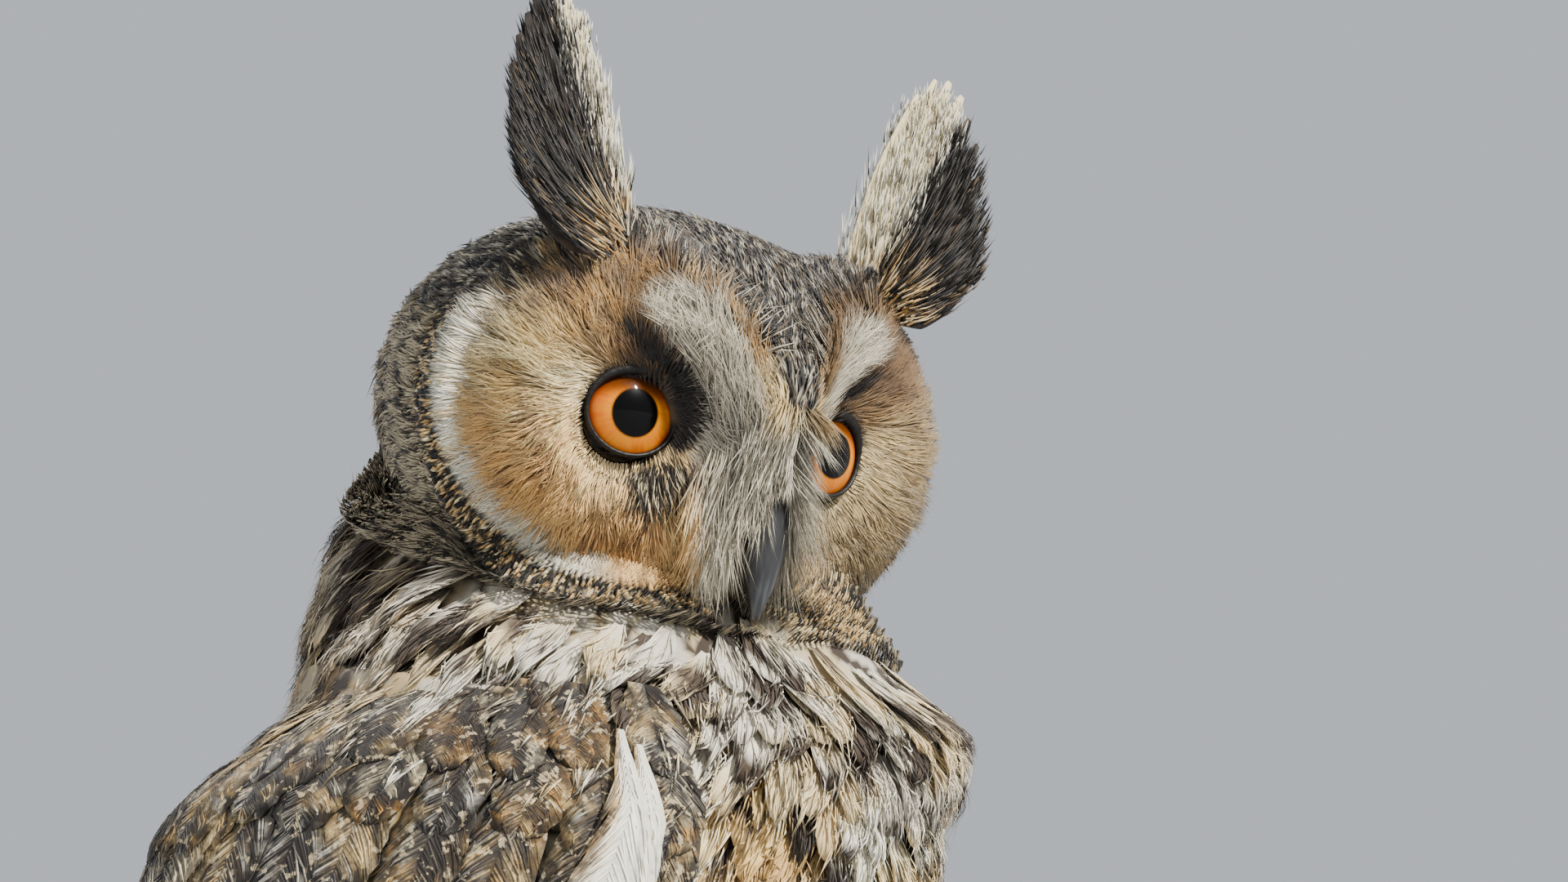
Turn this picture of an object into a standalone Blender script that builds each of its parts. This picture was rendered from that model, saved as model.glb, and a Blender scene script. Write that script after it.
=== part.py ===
"""A long-eared owl on a cut length of branch, life size, held up by a plain display stand.

The bird faces -Y, its left side is +X and +Z is up. The origin is the centre of the round base's underside.
Run it with blender --background --python part.py, or from Blender's text editor.

The body is one sweep: a spine in the Y-Z plane with a girth at each station, so that the neck, the torso, the
wings and the tail all take their places from the same spine. A point of the sweep has three numbers: the
distance down the spine, the angle round it from the middle of the back, and the height over the surface.
"""

import math

import bmesh
import bpy
import numpy as np
from mathutils import Matrix, Vector

MM = 0.001
GAP = 0.3 * MM
BOTH_SIDES = (("left", 1), ("right", -1))

# Stand and perch
BASE_RADIUS = 100 * MM
BASE_THICKNESS = 12 * MM
BASE_EDGE = 2.5 * MM
PERCH_RADIUS = 11 * MM
PERCH_LENGTH = 168 * MM
PERCH_TOP = 118 * MM
PERCH_Y = -20 * MM
ROD_RADIUS = 3 * MM
ROD_SPREAD = 56 * MM

# The spine from the head to the wing tips: backward and upward from the top of the perch, in millimetres
SPINE = np.array([
    (-27, 217), (-20, 198), (-14, 180), (-9, 158), (-3, 130), (8, 98), (23, 66), (39, 37),
    (54, 7), (67, -20), (80, -47), (92, -72), (102, -94),
], float)
# Half width, front depth and back depth of the body at the first stations, in millimetres
BODY_GIRTH = np.array([
    (22, 24, 34), (28, 34, 45), (40, 56, 48), (50, 66, 44), (56, 65, 49), (54, 59, 48), (46, 47, 40),
    (30, 28, 25), (12, 9, 10), (12, 9, 10), (12, 9, 10), (12, 9, 10), (12, 9, 10),
], float)
# The same for the surface that the folded wings lie on, which leaves the body below the flanks
WING_GIRTH = np.array([
    (22, 24, 34), (28, 34, 45), (40, 56, 48), (50, 66, 44), (57, 65, 50), (56, 59, 50), (52, 50, 46),
    (46, 41, 38), (41, 32, 31), (37, 26, 25), (34, 21, 20), (31, 17, 16.5), (29, 14, 14),
], float)
MANTLE_RISE = 8 * MM
MANTLE_HALF_ANGLE = math.radians(19)
RUFF_ANGLE = math.radians(150)
THROAT_ANGLE = math.radians(207)

# Stations down the spine, as heights over the perch, where one part ends and the next begins
NECK_TOP_Z = 208 * MM
NECK_FOOT_Z = 172 * MM
RUMP_Z = 22 * MM

# Head
HEAD_HALF = np.array((47, 41, 35)) * MM
HEAD_REAR = 35 * MM
HEAD_YAW = math.radians(-28)
HEAD_PITCH = math.radians(17)
HEAD_ROLL = math.radians(3)
EYE_CENTRE = np.array((17.2, -17.8, -0.4)) * MM
EYE_RADIUS = 11 * MM
EYE_OUTWARD = math.radians(13)
LID_RADIUS = 8.6 * MM
LID_THICKNESS = 1.3 * MM
LID_DEPTH = 8.1 * MM
DISC_RADIUS = 33 * MM
TUFT_ROOT = np.array((25, -20, 26)) * MM
TUFT_LEAN = np.array((12, 11, 34.0))
TUFT_FACING = math.radians(15)

# Feathers
VANE_THICKNESS = 0.6 * MM
TAIL_LENGTH = 142 * MM
TAIL_PAIRS = 6


def natural_spline(knots, values):
    """A function of u: the smooth curve through each row of values, with no bend at its two ends."""
    count = len(knots)
    step = np.diff(knots)
    system = np.eye(count)
    right = np.zeros_like(values)
    for i in range(1, count - 1):
        system[i, i - 1 : i + 2] = (step[i - 1], 2 * (step[i - 1] + step[i]), step[i])
        slope_after = (values[i + 1] - values[i]) / step[i]
        slope_before = (values[i] - values[i - 1]) / step[i - 1]
        right[i] = 6 * (slope_after - slope_before)
    bend = np.linalg.solve(system, right)

    def at(u):
        u = np.clip(np.asarray(u, float), knots[0], knots[-1])
        i = np.clip(np.searchsorted(knots, u) - 1, 0, count - 2)
        h = step[i][..., None]
        a = (knots[i + 1] - u)[..., None] / h
        b = 1 - a
        bulge = ((a**3 - a) * bend[i] + (b**3 - b) * bend[i + 1]) * h**2 / 6
        return a * values[i] + b * values[i + 1] + bulge

    return at


KNOTS = np.concatenate([[0.0], np.cumsum(np.linalg.norm(np.diff(SPINE, axis=0), axis=1))]) * MM
spine_at = natural_spline(KNOTS, SPINE * MM)
body_girth = natural_spline(KNOTS, BODY_GIRTH * MM)
wing_girth = natural_spline(KNOTS, WING_GIRTH * MM)
SPINE_LENGTH = KNOTS[-1]


def station(height):
    """The distance down the spine where it passes a height over the perch."""
    fine = np.linspace(0, SPINE_LENGTH, 2000)
    return np.interp(-height, -spine_at(fine)[:, 1], fine)


def spine_frame(u):
    """Centre of the spine at u and the unit vector that points out of the bird's back there."""
    step = 0.5 * MM
    centre = spine_at(u)
    run = spine_at(np.asarray(u) + step) - spine_at(np.asarray(u) - step)
    run /= np.linalg.norm(run, axis=-1, keepdims=True)
    zero = np.zeros(centre.shape[:-1])
    centre = np.stack([zero, centre[..., 0] + PERCH_Y, centre[..., 1] + PERCH_TOP], -1)
    back = np.stack([zero, -run[..., 1], run[..., 0]], -1)
    return centre, back


def smoothstep(x):
    x = np.clip(x, 0, 1)
    return x * x * (3 - 2 * x)


def mantle(u, angle):
    """Height of the mantle feathers between the wings: a low ridge down the middle of the back."""
    across = smoothstep((MANTLE_HALF_ANGLE - np.abs(angle)) / math.radians(9))
    along = smoothstep((u - station(166 * MM)) / (22 * MM)) * smoothstep((station(44 * MM) - u) / (30 * MM))
    return MANTLE_RISE * across * along


def sweep_point(girth, u, angle, height):
    """Point at u down the spine, angle round it from the middle of the back, height over the surface."""
    u, angle, height = np.broadcast_arrays(
        np.asarray(u, float), np.asarray(angle, float), np.asarray(height, float)
    )
    centre, back = spine_frame(u)
    half, front, rear = np.moveaxis(girth(u), -1, 0)
    depth = np.where(np.cos(angle) > 0, rear, front)
    normal = np.stack([np.sin(angle) / half, np.cos(angle) / depth], -1)
    normal /= np.linalg.norm(normal, axis=-1, keepdims=True)
    sideways = half * np.sin(angle) + height * normal[..., 0]
    backward = depth * np.cos(angle) + height * normal[..., 1]
    return centre + sideways[..., None] * np.array((1.0, 0, 0)) + backward[..., None] * back


def ruff(u, angle):
    """Fullness of the neck on the side that the head turns away from, and the hollow of the throat under the bill."""
    fold = np.exp((np.cos(angle - RUFF_ANGLE) - 1) / 0.27)
    throat = np.exp((np.cos(angle - THROAT_ANGLE) - 1) / 0.12)
    full = np.interp(u, [station(z * MM) for z in (217, 198, 180, 158)], (0, 9 * MM, 11 * MM, 0))
    hollow = np.interp(u, [station(z * MM) for z in (217, 198, 180, 162)], (0, 5 * MM, 7 * MM, 0))
    return full * fold - hollow * throat


def body_point(u, angle, height=0.0):
    return sweep_point(body_girth, u, angle, height + mantle(u, angle) + ruff(u, angle))


def wing_point(u, angle, height):
    return sweep_point(wing_girth, u, angle, height)


def head_matrix():
    """Rotation of the head: turned to its right, looking down a little and tipped."""
    turn = Matrix.Rotation(HEAD_YAW, 3, "Z")
    nod = Matrix.Rotation(HEAD_PITCH, 3, "X")
    tip = Matrix.Rotation(HEAD_ROLL, 3, "Y")
    return np.array(turn @ nod @ tip)


HEAD_TURN = head_matrix()
HEAD_CENTRE = np.array((0, -24 * MM + PERCH_Y, 216 * MM + PERCH_TOP))


def from_head(points):
    """Points in the head's own axes, placed on the bird."""
    return np.asarray(points) @ HEAD_TURN.T + HEAD_CENTRE


def bell(x, width):
    return np.exp(-((x / width) ** 2))


def segment_distance(x, z, start, end):
    """Distance in the x-z plane to the straight line from start to end."""
    start, end = np.array(start), np.array(end)
    run = end - start
    t = np.clip(((x - start[0]) * run[0] + (z - start[1]) * run[1]) / (run @ run), 0, 1)
    return np.hypot(x - start[0] - t * run[0], z - start[1] - t * run[1])


def head_surface(polar, round_, height=0.0):
    """Point of the head in its own axes, face towards -y. polar runs from the bill to the nape, round_ about that line.

    An egg with a flattened face, then four forms over it: a hollow round each eye, the raised rim of the facial
    disc, the ridge of bristles over the bill, and the two pale brows that run up from it to the ear tufts.
    """
    polar, round_ = np.broadcast_arrays(np.asarray(polar, float), np.asarray(round_, float))
    flat = np.cos(polar) + 0.05 * np.sin(2 * polar)
    unit = np.stack([np.sin(polar) * np.sin(round_), -flat, np.sin(polar) * np.cos(round_)], -1)
    half = np.broadcast_to(HEAD_HALF, unit.shape).copy()
    half[..., 1] = np.where(unit[..., 1] > 0, HEAD_REAR, HEAD_HALF[1])
    base = unit * half
    normal = unit / half
    normal /= np.linalg.norm(normal, axis=-1, keepdims=True)
    x, z = np.abs(base[..., 0]), base[..., 2]
    face = smoothstep((-base[..., 1] / MM + 2) / 14)
    from_eye = np.linalg.norm(
        np.stack([x, base[..., 1], z], -1) - np.array((21, -33, 1)) * MM, axis=-1
    )
    rim = 4.0 * MM * bell(from_eye - DISC_RADIUS, 4.2 * MM) * smoothstep((x - 9 * MM) / (10 * MM))
    from_socket = np.linalg.norm(np.stack([x, base[..., 1], z], -1) - np.array((18.5, -33, -0.4)) * MM, axis=-1)
    hollow = 16.6 * MM * bell(from_socket, 14 * MM)
    ridge = 6.5 * MM * bell(x, 7.5 * MM) * bell(z + 2 * MM, 20 * MM)
    brow = 3.6 * MM * bell(segment_distance(x, z, (5 * MM, 9 * MM), (25 * MM, 29 * MM)), 6.5 * MM)
    forward = face * (ridge + brow - hollow)
    out = face * rim + height
    return base + normal * out[..., None] + forward[..., None] * np.array((0, -1.0, 0))


def mesh_object(name, points, faces, collection=None):
    """A closed mesh object with its faces turned out."""
    made = bmesh.new()
    corners = [made.verts.new(p) for p in np.asarray(points).reshape(-1, 3)]
    for face in faces:
        made.faces.new([corners[i] for i in face])
    bmesh.ops.recalc_face_normals(made, faces=made.faces)
    mesh = bpy.data.meshes.new(name)
    made.to_mesh(mesh)
    made.free()
    obj = bpy.data.objects.new(name, mesh)
    (collection or bpy.context.scene.collection).objects.link(obj)
    return obj


def triangles(quads):
    """Each four-sided face as two triangles, cut along its first diagonal."""
    return [t for a, b, c, d in quads for t in ((a, b, c), (a, c, d))]


def tube_faces(rings, sides):
    """Triangles of a closed tube of rings, with a flat cap at each end."""
    quads = [
        (r * sides + s, r * sides + (s + 1) % sides, (r + 1) * sides + (s + 1) % sides, (r + 1) * sides + s)
        for r in range(rings - 1)
        for s in range(sides)
    ]
    last = (rings - 1) * sides
    caps = [tuple(range(sides)), tuple(last + s for s in reversed(range(sides)))]
    return triangles(quads) + caps


def sheet_solid(name, outer, inner, collection=None):
    """A closed slab between two grids of points of the same size, triangles alike on both faces."""
    rows, columns = outer.shape[:2]
    count = rows * columns
    faces = []
    for r in range(rows - 1):
        for c in range(columns - 1):
            a, b = r * columns + c, (r + 1) * columns + c
            for t in triangles([(a, a + 1, b + 1, b)]):
                faces.append(t)
                faces.append(tuple(count + i for i in reversed(t)))
    edge = [c for c in range(columns)]
    edge += [r * columns + columns - 1 for r in range(1, rows)]
    edge += [(rows - 1) * columns + c for c in reversed(range(columns - 1))]
    edge += [r * columns for r in reversed(range(1, rows - 1))]
    for i, a in enumerate(edge):
        b = edge[(i + 1) % len(edge)]
        faces += triangles([(b, a, count + a, count + b)])
    points = np.concatenate([outer.reshape(-1, 3), inner.reshape(-1, 3)])
    return mesh_object(name, points, faces, collection)


def swept_tube(name, path, radii, sides=10, flatten=1.0, collection=None, side_axis=(1, 0, 0)):
    """A tube with a flat cap at each end. flatten is its thickness over its width, which lies along side_axis."""
    path = np.asarray(path, float)
    run = np.gradient(path, axis=0, edge_order=2)
    run /= np.linalg.norm(run, axis=1, keepdims=True)
    across = np.asarray(side_axis, float) - (run @ np.asarray(side_axis, float))[:, None] * run
    across /= np.linalg.norm(across, axis=1, keepdims=True)
    other = np.cross(run, across)
    turn = np.arange(sides) * 2 * math.pi / sides
    ring = np.cos(turn)[None, :, None] * across[:, None] + flatten * np.sin(turn)[None, :, None] * other[:, None]
    points = path[:, None] + np.asarray(radii, float)[:, None, None] * ring
    return mesh_object(name, points, tube_faces(len(path), sides), collection)


def ball(name, centre, radii, segments=16, rings=10, collection=None):
    made = bmesh.new()
    bmesh.ops.create_uvsphere(made, u_segments=segments, v_segments=rings, radius=1)
    bmesh.ops.scale(made, vec=Vector(radii), verts=made.verts)
    bmesh.ops.translate(made, vec=Vector(centre), verts=made.verts)
    mesh = bpy.data.meshes.new(name)
    made.to_mesh(mesh)
    made.free()
    obj = bpy.data.objects.new(name, mesh)
    (collection or bpy.context.scene.collection).objects.link(obj)
    return obj


def helper_collection(name):
    made = bpy.data.collections.new(name)
    bpy.context.scene.collection.children.link(made)
    return made


def combine(obj, collection, operation):
    """Joins a collection of closed meshes to obj, or cuts them from it, and removes the helpers."""
    for helper in collection.objects:
        helper.hide_render = True
        helper.display_type = "WIRE"
    modifier = obj.modifiers.new(operation.lower(), "BOOLEAN")
    modifier.operation = operation
    modifier.operand_type = "COLLECTION"
    modifier.collection = collection
    modifier.solver = "EXACT"
    graph = bpy.context.evaluated_depsgraph_get()
    result = bpy.data.meshes.new_from_object(obj.evaluated_get(graph))
    obj.modifiers.clear()
    obj.data = result
    for helper in list(collection.objects):
        bpy.data.objects.remove(helper)
    bpy.data.collections.remove(collection)
    keep_largest(obj)


def keep_largest(obj):
    """Keeps the closed surface with the largest volume, which drops loose scraps and fills sealed hollows."""
    made = bmesh.new()
    made.from_mesh(obj.data)
    bmesh.ops.triangulate(made, faces=made.faces)
    bmesh.ops.remove_doubles(made, verts=made.verts, dist=4e-7)
    bmesh.ops.dissolve_degenerate(made, edges=made.edges, dist=2e-7)
    loose = set(made.faces)
    best, best_volume = [], -1.0
    while loose:
        stack = [loose.pop()]
        island = set(stack)
        while stack:
            for edge in stack.pop().edges:
                for other in edge.link_faces:
                    if other in loose:
                        loose.discard(other)
                        island.add(other)
                        stack.append(other)
        volume = abs(sum(
            f.verts[0].co.dot(f.verts[1].co.cross(f.verts[2].co)) / 6 for f in island
        ))
        if volume > best_volume:
            best, best_volume = island, volume
    drop = [f for f in made.faces if f not in best]
    bmesh.ops.delete(made, geom=drop, context="FACES")
    lonely = [v for v in made.verts if not v.link_faces]
    bmesh.ops.delete(made, geom=lonely, context="VERTS")
    made.to_mesh(obj.data)
    made.free()


def finish(obj, material, smooth_angle=40):
    obj.data.materials.clear()
    obj.data.materials.append(material)
    obj.data.shade_smooth()
    obj.data.set_sharp_from_angle(angle=math.radians(smooth_angle))
    return obj


def material(name, colour, roughness, metallic=0.0):
    made = bpy.data.materials.new(name)
    made.use_nodes = True
    shader = made.node_tree.nodes["Principled BSDF"]
    shader.inputs["Base Color"].default_value = (*colour, 1)
    shader.inputs["Roughness"].default_value = roughness
    shader.inputs["Metallic"].default_value = metallic
    made.diffuse_color = (*colour, 1)
    return made


# Vanes

FLIGHT_OUTLINE = ((0.0, 0.45), (0.3, 0.92), (0.72, 1.0), (0.92, 0.72), (1.0, 0.28))
COVERT_OUTLINE = ((0.0, 0.5), (0.45, 0.95), (0.85, 0.82), (1.0, 0.32))


FLAT = (-1.0, 1.0)
CAMBERED = (-1.0, 0.0, 1.0)


def vane_grid(outline, place, half_width, thickness, columns=FLAT):
    """The upper and lower grids of points of one vane, with a point at each of its columns.

    place(t, across, height) gives a point t along the vane, across it in metres and height over its own lie.
    """
    upper, lower = [], []
    for t, share in outline:
        half = half_width * share
        for grid, side in ((upper, 0.5), (lower, -0.5)):
            grid.append([place(t, x * half, side * thickness) for x in columns])
    return np.array(upper), np.array(lower)


def wing_vane(name, side, root, tip, half_width, tilt, outline, collection, thickness=VANE_THICKNESS):
    """A vane over the wing's surface. root and tip are (distance down the spine, angle, height)."""
    root, tip = np.array(root, float), np.array(tip, float)

    def place(t, across, height):
        u, angle, lie = root + (tip - root) * t
        step = math.radians(1)
        reach = np.linalg.norm(wing_point(u, angle + step, lie) - wing_point(u, angle - step, lie)) / (2 * step)
        turned = side * (angle + across / reach)
        return wing_point(u, turned, lie + tilt * across + height)

    return sheet_solid(name, *vane_grid(outline, place, half_width, thickness, CAMBERED), collection)


# Wings

WING_TOP_Z = 170 * MM
WING_TOP_DROP = 16 * MM
WING_CORE_FOOT_Z = -2 * MM
WING_CORE_THICKNESS = 11 * MM
WING_LEADING = ((176, 126), (150, 137), (94, 133), (36, 114), (-20, 90), (-94, 72))
WING_TRAILING = ((176, 30), (150, 21), (94, 18), (36, 17), (-20, 19), (-94, 22))


def edge_angle(table, u):
    """Angle of a wing's edge at u, from a table of heights over the perch and degrees."""
    places = [station(z * MM) for z, _ in table]
    return np.interp(u, places, [math.radians(degrees) for _, degrees in table])


def wing_top(across):
    """Distance down the spine where the wing begins: lower at the back than at its leading edge."""
    return station(WING_TOP_Z - WING_TOP_DROP * (1 - across))


def wing_thickness(u, across):
    """Height of the wing's core over the body: full behind the wrist, thin where the long feathers leave it."""
    top, foot = wing_top(across), station(WING_CORE_FOOT_Z)
    rise = smoothstep((u - top) / (20 * MM)) ** 0.5
    fall = np.clip((foot - u) / (foot - station(128 * MM)), 0, 1)
    edge = (1 - np.abs(2 * across - 1) ** 5) ** 0.6
    return 0.9 * MM + (WING_CORE_THICKNESS - 0.9 * MM) * rise * fall**1.5 * edge


# A row of the folded wing: vanes, height of root and tip over the perch, at the trailing and the leading edge,
# the share of the width it spans, height over the wing's surface, half width, tilt and outline
WING_ROWS = (
    ("primary", 6, (66, 52), (-93, -62), (0.10, 0.95), (2.0, 1.6), 11.5, 0.13, FLIGHT_OUTLINE),
    ("secondary", 6, (84, 84), (8, 26), (0.08, 0.94), (4.6, 4.2), 13.5, 0.10, FLIGHT_OUTLINE),
    ("greater_covert", 6, (116, 112), (58, 70), (0.10, 0.95), (7.2, 6.8), 12, 0.10, COVERT_OUTLINE),
    ("median_covert", 5, (136, 134), (92, 98), (0.12, 0.93), (9.7, 9.3), 12.5, 0.09, COVERT_OUTLINE),
    ("scapular", 4, (140, 138), (74, 94), (0.04, 0.36), (10.6, 11.6), 12, 0.07, FLIGHT_OUTLINE),
)


def make_wing(name, side, skin):
    columns = (1 - np.cos(np.linspace(0, math.pi, 8))) / 2
    top, foot = wing_top(columns), station(WING_CORE_FOOT_Z)
    u = top + (foot - top) * np.linspace(0, 1, 11)[:, None]
    first, last = edge_angle(WING_TRAILING, u), edge_angle(WING_LEADING, u)
    angle = side * (first + (last - first) * columns)
    outer = wing_point(u, angle, GAP + wing_thickness(u, columns[None, :]))
    inner = wing_point(u, angle, -1.5 * MM)
    wing = sheet_solid(name, outer, inner)
    vanes = helper_collection(name + "_vanes")
    draw = np.random.default_rng(7)
    for row, count, roots, tips, span, lie, half_width, tilt, outline in WING_ROWS:
        for i in range(count):
            share = i / (count - 1)
            across = span[0] + (span[1] - span[0]) * share
            length_change = draw.uniform(-1.5, 1.5)
            root_u = station((roots[0] + (roots[1] - roots[0]) * share) * MM)
            tip_u = station((tips[0] + (tips[1] - tips[0]) * share + length_change) * MM)
            ends = []
            for place, height in ((root_u, lie[0]), (tip_u, lie[1])):
                trailing, leading = edge_angle(WING_TRAILING, place), edge_angle(WING_LEADING, place)
                ends.append((place, trailing + (leading - trailing) * across, height * MM))
            wing_vane(f"{name}_{row}_{i}", side, ends[0], ends[1], half_width * MM, tilt, outline, vanes)
    combine(wing, vanes, "UNION")
    cutters = helper_collection(name + "_cutters")
    sweep_solid("flank_seat", torso_stations(), BODY_SIDES, GAP, cutters)
    sweep_solid("shoulder_seat", neck_stations(), BODY_SIDES, GAP, cutters)
    combine(wing, cutters, "DIFFERENCE")
    return finish(wing, skin)


# Torso, neck and tail

def sweep_solid(name, stations, sides, height=0.0, collection=None, point=body_point):
    angle = np.arange(sides) * 2 * math.pi / sides
    u = np.asarray(stations, float)[:, None]
    points = point(u, angle[None, :], height)
    return mesh_object(name, points, tube_faces(len(stations), sides), collection)


BODY_SIDES = 24


def torso_stations():
    return np.linspace(station(NECK_FOOT_Z), station(RUMP_Z), 15)


def neck_stations():
    return np.linspace(station(NECK_TOP_Z), station(NECK_FOOT_Z) - GAP, 7)


def make_torso(skin):
    return finish(sweep_solid("torso", torso_stations(), BODY_SIDES), skin)


def make_neck(skin):
    neck = sweep_solid("neck", neck_stations(), BODY_SIDES)
    cutters = helper_collection("neck_cutters")
    head_form("neck_seat", GAP, cutters)
    bill_form("bill_over_neck", GAP, cutters)
    lower_form("lower_over_neck", GAP, cutters)
    combine(neck, cutters, "DIFFERENCE")
    return finish(neck, skin)


def make_tail(skin):
    """Twelve tail feathers in a shallow fan, the middle pair on top, with a tier of coverts below them."""
    root_u = station(RUMP_Z) + GAP
    length = min(TAIL_LENGTH, SPINE_LENGTH - root_u - 4 * MM)
    core_ends = np.linspace(root_u, root_u + 36 * MM, 5)
    centre, back = spine_frame(core_ends)
    turn = np.arange(14) * 2 * math.pi / 14
    start = body_girth(root_u)
    shrink = np.array((1.0, 0.72, 0.42, 0.16, 0.0))
    wide = 8.5 * MM + (start[0] - 8.5 * MM) * shrink
    deep = 4.4 * MM + (start[2] - 4.4 * MM) * shrink
    ring = (
        centre[:, None]
        + (wide[:, None] * np.cos(turn))[..., None] * np.array((1.0, 0, 0))
        + (deep[:, None] * np.sin(turn))[..., None] * back[:, None]
    )
    tail = mesh_object("tail", ring, tube_faces(5, 14))
    vanes = helper_collection("tail_vanes")

    def straight_vane(name, first, last, half_width, outline):
        """first and last are (distance down the spine, sideways, backward) of the vane's two ends."""
        first, last = np.array(first), np.array(last)

        def place(t, across, height):
            u, sideways, backward = first + (last - first) * t
            middle, out = spine_frame(np.array(u))
            return middle + np.array((sideways + across, 0, 0)) + (backward + height) * out

        sheet_solid(name, *vane_grid(outline, place, half_width, 0.5 * MM), vanes)

    for pair in range(TAIL_PAIRS):
        for label, side in BOTH_SIDES:
            layer = 2 * pair + (side < 0)
            backward = (4.5 - 0.82 * layer) * MM
            spread = (1.6 + 2.75 * pair) * MM * side
            tip_u = root_u + length - 1.6 * MM * pair
            straight_vane(
                f"tail_{label}_{pair}",
                (root_u + 10 * MM, spread * 0.3, backward * 0.8),
                (tip_u, spread, backward),
                9.2 * MM,
                FLIGHT_OUTLINE,
            )
    for i in range(5):
        sideways = (i - 2) * 4.2 * MM
        over = (6.6 + 0.9 * (i % 2)) * MM
        straight_vane(
            f"uppertail_{i}",
            (root_u + 3 * MM, sideways * 0.9, 9.0 * MM),
            (root_u + (52 - 4 * abs(i - 2)) * MM, sideways * 1.3, over),
            6.0 * MM,
            COVERT_OUTLINE,
        )
        depth = (-7.0 - 0.9 * (i % 2)) * MM
        straight_vane(
            f"undertail_{i}",
            (root_u + 3 * MM, sideways * 0.8, -5.0 * MM),
            (root_u + (66 - 5 * abs(i - 2)) * MM, sideways * 1.6, depth - 1.5 * MM),
            6.5 * MM,
            COVERT_OUTLINE,
        )
    combine(tail, vanes, "UNION")
    return finish(tail, skin)


# Head, eyes, bill and ear tufts

HEAD_SIDES = 38
BILL_PATH = np.array((
    (0, -31, -3), (0, -36.5, -5.5), (0, -40.3, -10), (0, -42.6, -16), (0, -43.9, -22), (0, -44.6, -27.5),
)) * MM
BILL_RADII = np.array((5.4, 5.5, 4.9, 3.8, 2.4, 0.5)) * MM
LOWER_PATH = np.array(((0, -28, -16), (0, -33.5, -19), (0, -37.2, -22))) * MM
LOWER_RADII = np.array((4.8, 3.8, 1.6)) * MM


def head_form(name, height, collection=None):
    """The head with its relief, as a closed mesh of rings from the bill to the nape."""
    share = np.linspace(0, 1, 24)[1:-1]
    polar = math.pi * (0.68 * share + 0.32 * share**2)
    turn = np.arange(HEAD_SIDES) * 2 * math.pi / HEAD_SIDES
    rings = head_surface(polar[:, None], turn[None, :], height)
    poles = head_surface(np.array((0.0, math.pi)), np.zeros(2), height)
    points = np.concatenate([from_head(rings).reshape(-1, 3), from_head(poles)])
    count = len(polar)
    faces = tube_faces(count, HEAD_SIDES)[:-2]
    front, nape = count * HEAD_SIDES, count * HEAD_SIDES + 1
    last = (count - 1) * HEAD_SIDES
    for s in range(HEAD_SIDES):
        after = (s + 1) % HEAD_SIDES
        faces += [(front, after, s), (nape, last + s, last + after)]
    return mesh_object(name, points, faces, collection)


def bill_form(name, extra, collection=None):
    return swept_tube(name, from_head(BILL_PATH), BILL_RADII + extra, 12, 1.0, collection, HEAD_TURN[:, 0])


def lower_form(name, extra, collection=None):
    return swept_tube(name, from_head(LOWER_PATH), LOWER_RADII + extra, 10, 0.7, collection, HEAD_TURN[:, 0])


def eye_place(side):
    """Centre of the eyeball and the way it looks, on the bird."""
    centre = EYE_CENTRE * np.array((side, 1, 1))
    look = np.array((side * math.sin(EYE_OUTWARD), -math.cos(EYE_OUTWARD), 0))
    return from_head(centre), HEAD_TURN @ look


def lid_ring(name, side, collection):
    """The rim of the lids: a ring round the eye's opening, wider than it is high."""
    centre, look = eye_place(side)
    across = HEAD_TURN @ np.array((math.cos(EYE_OUTWARD), side * math.sin(EYE_OUTWARD), 0))
    up = np.cross(across, look)
    turn = np.arange(18) * 2 * math.pi / 18
    small = np.arange(5) * 2 * math.pi / 5
    spoke = np.cos(turn)[:, None] * across + 0.94 * np.sin(turn)[:, None] * up
    ring = (
        (centre + LID_DEPTH * look)
        + (LID_RADIUS + LID_THICKNESS * np.cos(small))[None, :, None] * spoke[:, None]
        + (LID_THICKNESS * np.sin(small))[None, :, None] * look
    )
    count = len(turn)
    quads = [
        (r * 5 + s, r * 5 + (s + 1) % 5, (r + 1) % count * 5 + (s + 1) % 5, (r + 1) % count * 5 + s)
        for r in range(count)
        for s in range(5)
    ]
    return mesh_object(name, ring, triangles(quads), collection)


def make_head(skin):
    head = head_form("head", 0.0)
    lids = helper_collection("lids")
    for label, side in BOTH_SIDES:
        lid_ring("lid_" + label, side, lids)
    combine(head, lids, "UNION")
    cutters = helper_collection("head_cutters")
    for label, side in BOTH_SIDES:
        centre, _ = eye_place(side)
        ball("socket_" + label, centre, [EYE_RADIUS + GAP] * 3, 18, 10, cutters)
    bill_form("bill_seat", GAP, cutters)
    lower_form("lower_seat", GAP, cutters)
    combine(head, cutters, "DIFFERENCE")
    return finish(head, skin)


def make_bill(horn):
    upper = bill_form("bill_upper", 0.0)
    nostrils = helper_collection("nostrils")
    for label, side in BOTH_SIDES:
        place = from_head(np.array((side * 4.9, -46, -12)) * MM)
        ball("nostril_" + label, place, [1.1 * MM] * 3, 8, 6, nostrils)
    combine(upper, nostrils, "DIFFERENCE")
    lower = lower_form("bill_lower", 0.0)
    cutters = helper_collection("lower_cutters")
    bill_form("bill_over_lower", GAP, cutters)
    combine(lower, cutters, "DIFFERENCE")
    finish(lower, horn)
    return finish(upper, horn)


def make_eye(label, side, glass):
    centre, _ = eye_place(side)
    return finish(ball("eye_" + label, centre, [EYE_RADIUS] * 3, 18, 10), glass)


# Length in millimetres, lean in the blade's plane in degrees and half width of each feather of an ear tuft
TUFT_FEATHERS = (
    (39, -6, 4.4), (44, -1, 5.2), (43, 6, 5.4), (39, 14, 5.2), (34, 23, 5.0), (28, 33, 4.6), (22, 44, 4.0),
)


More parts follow.
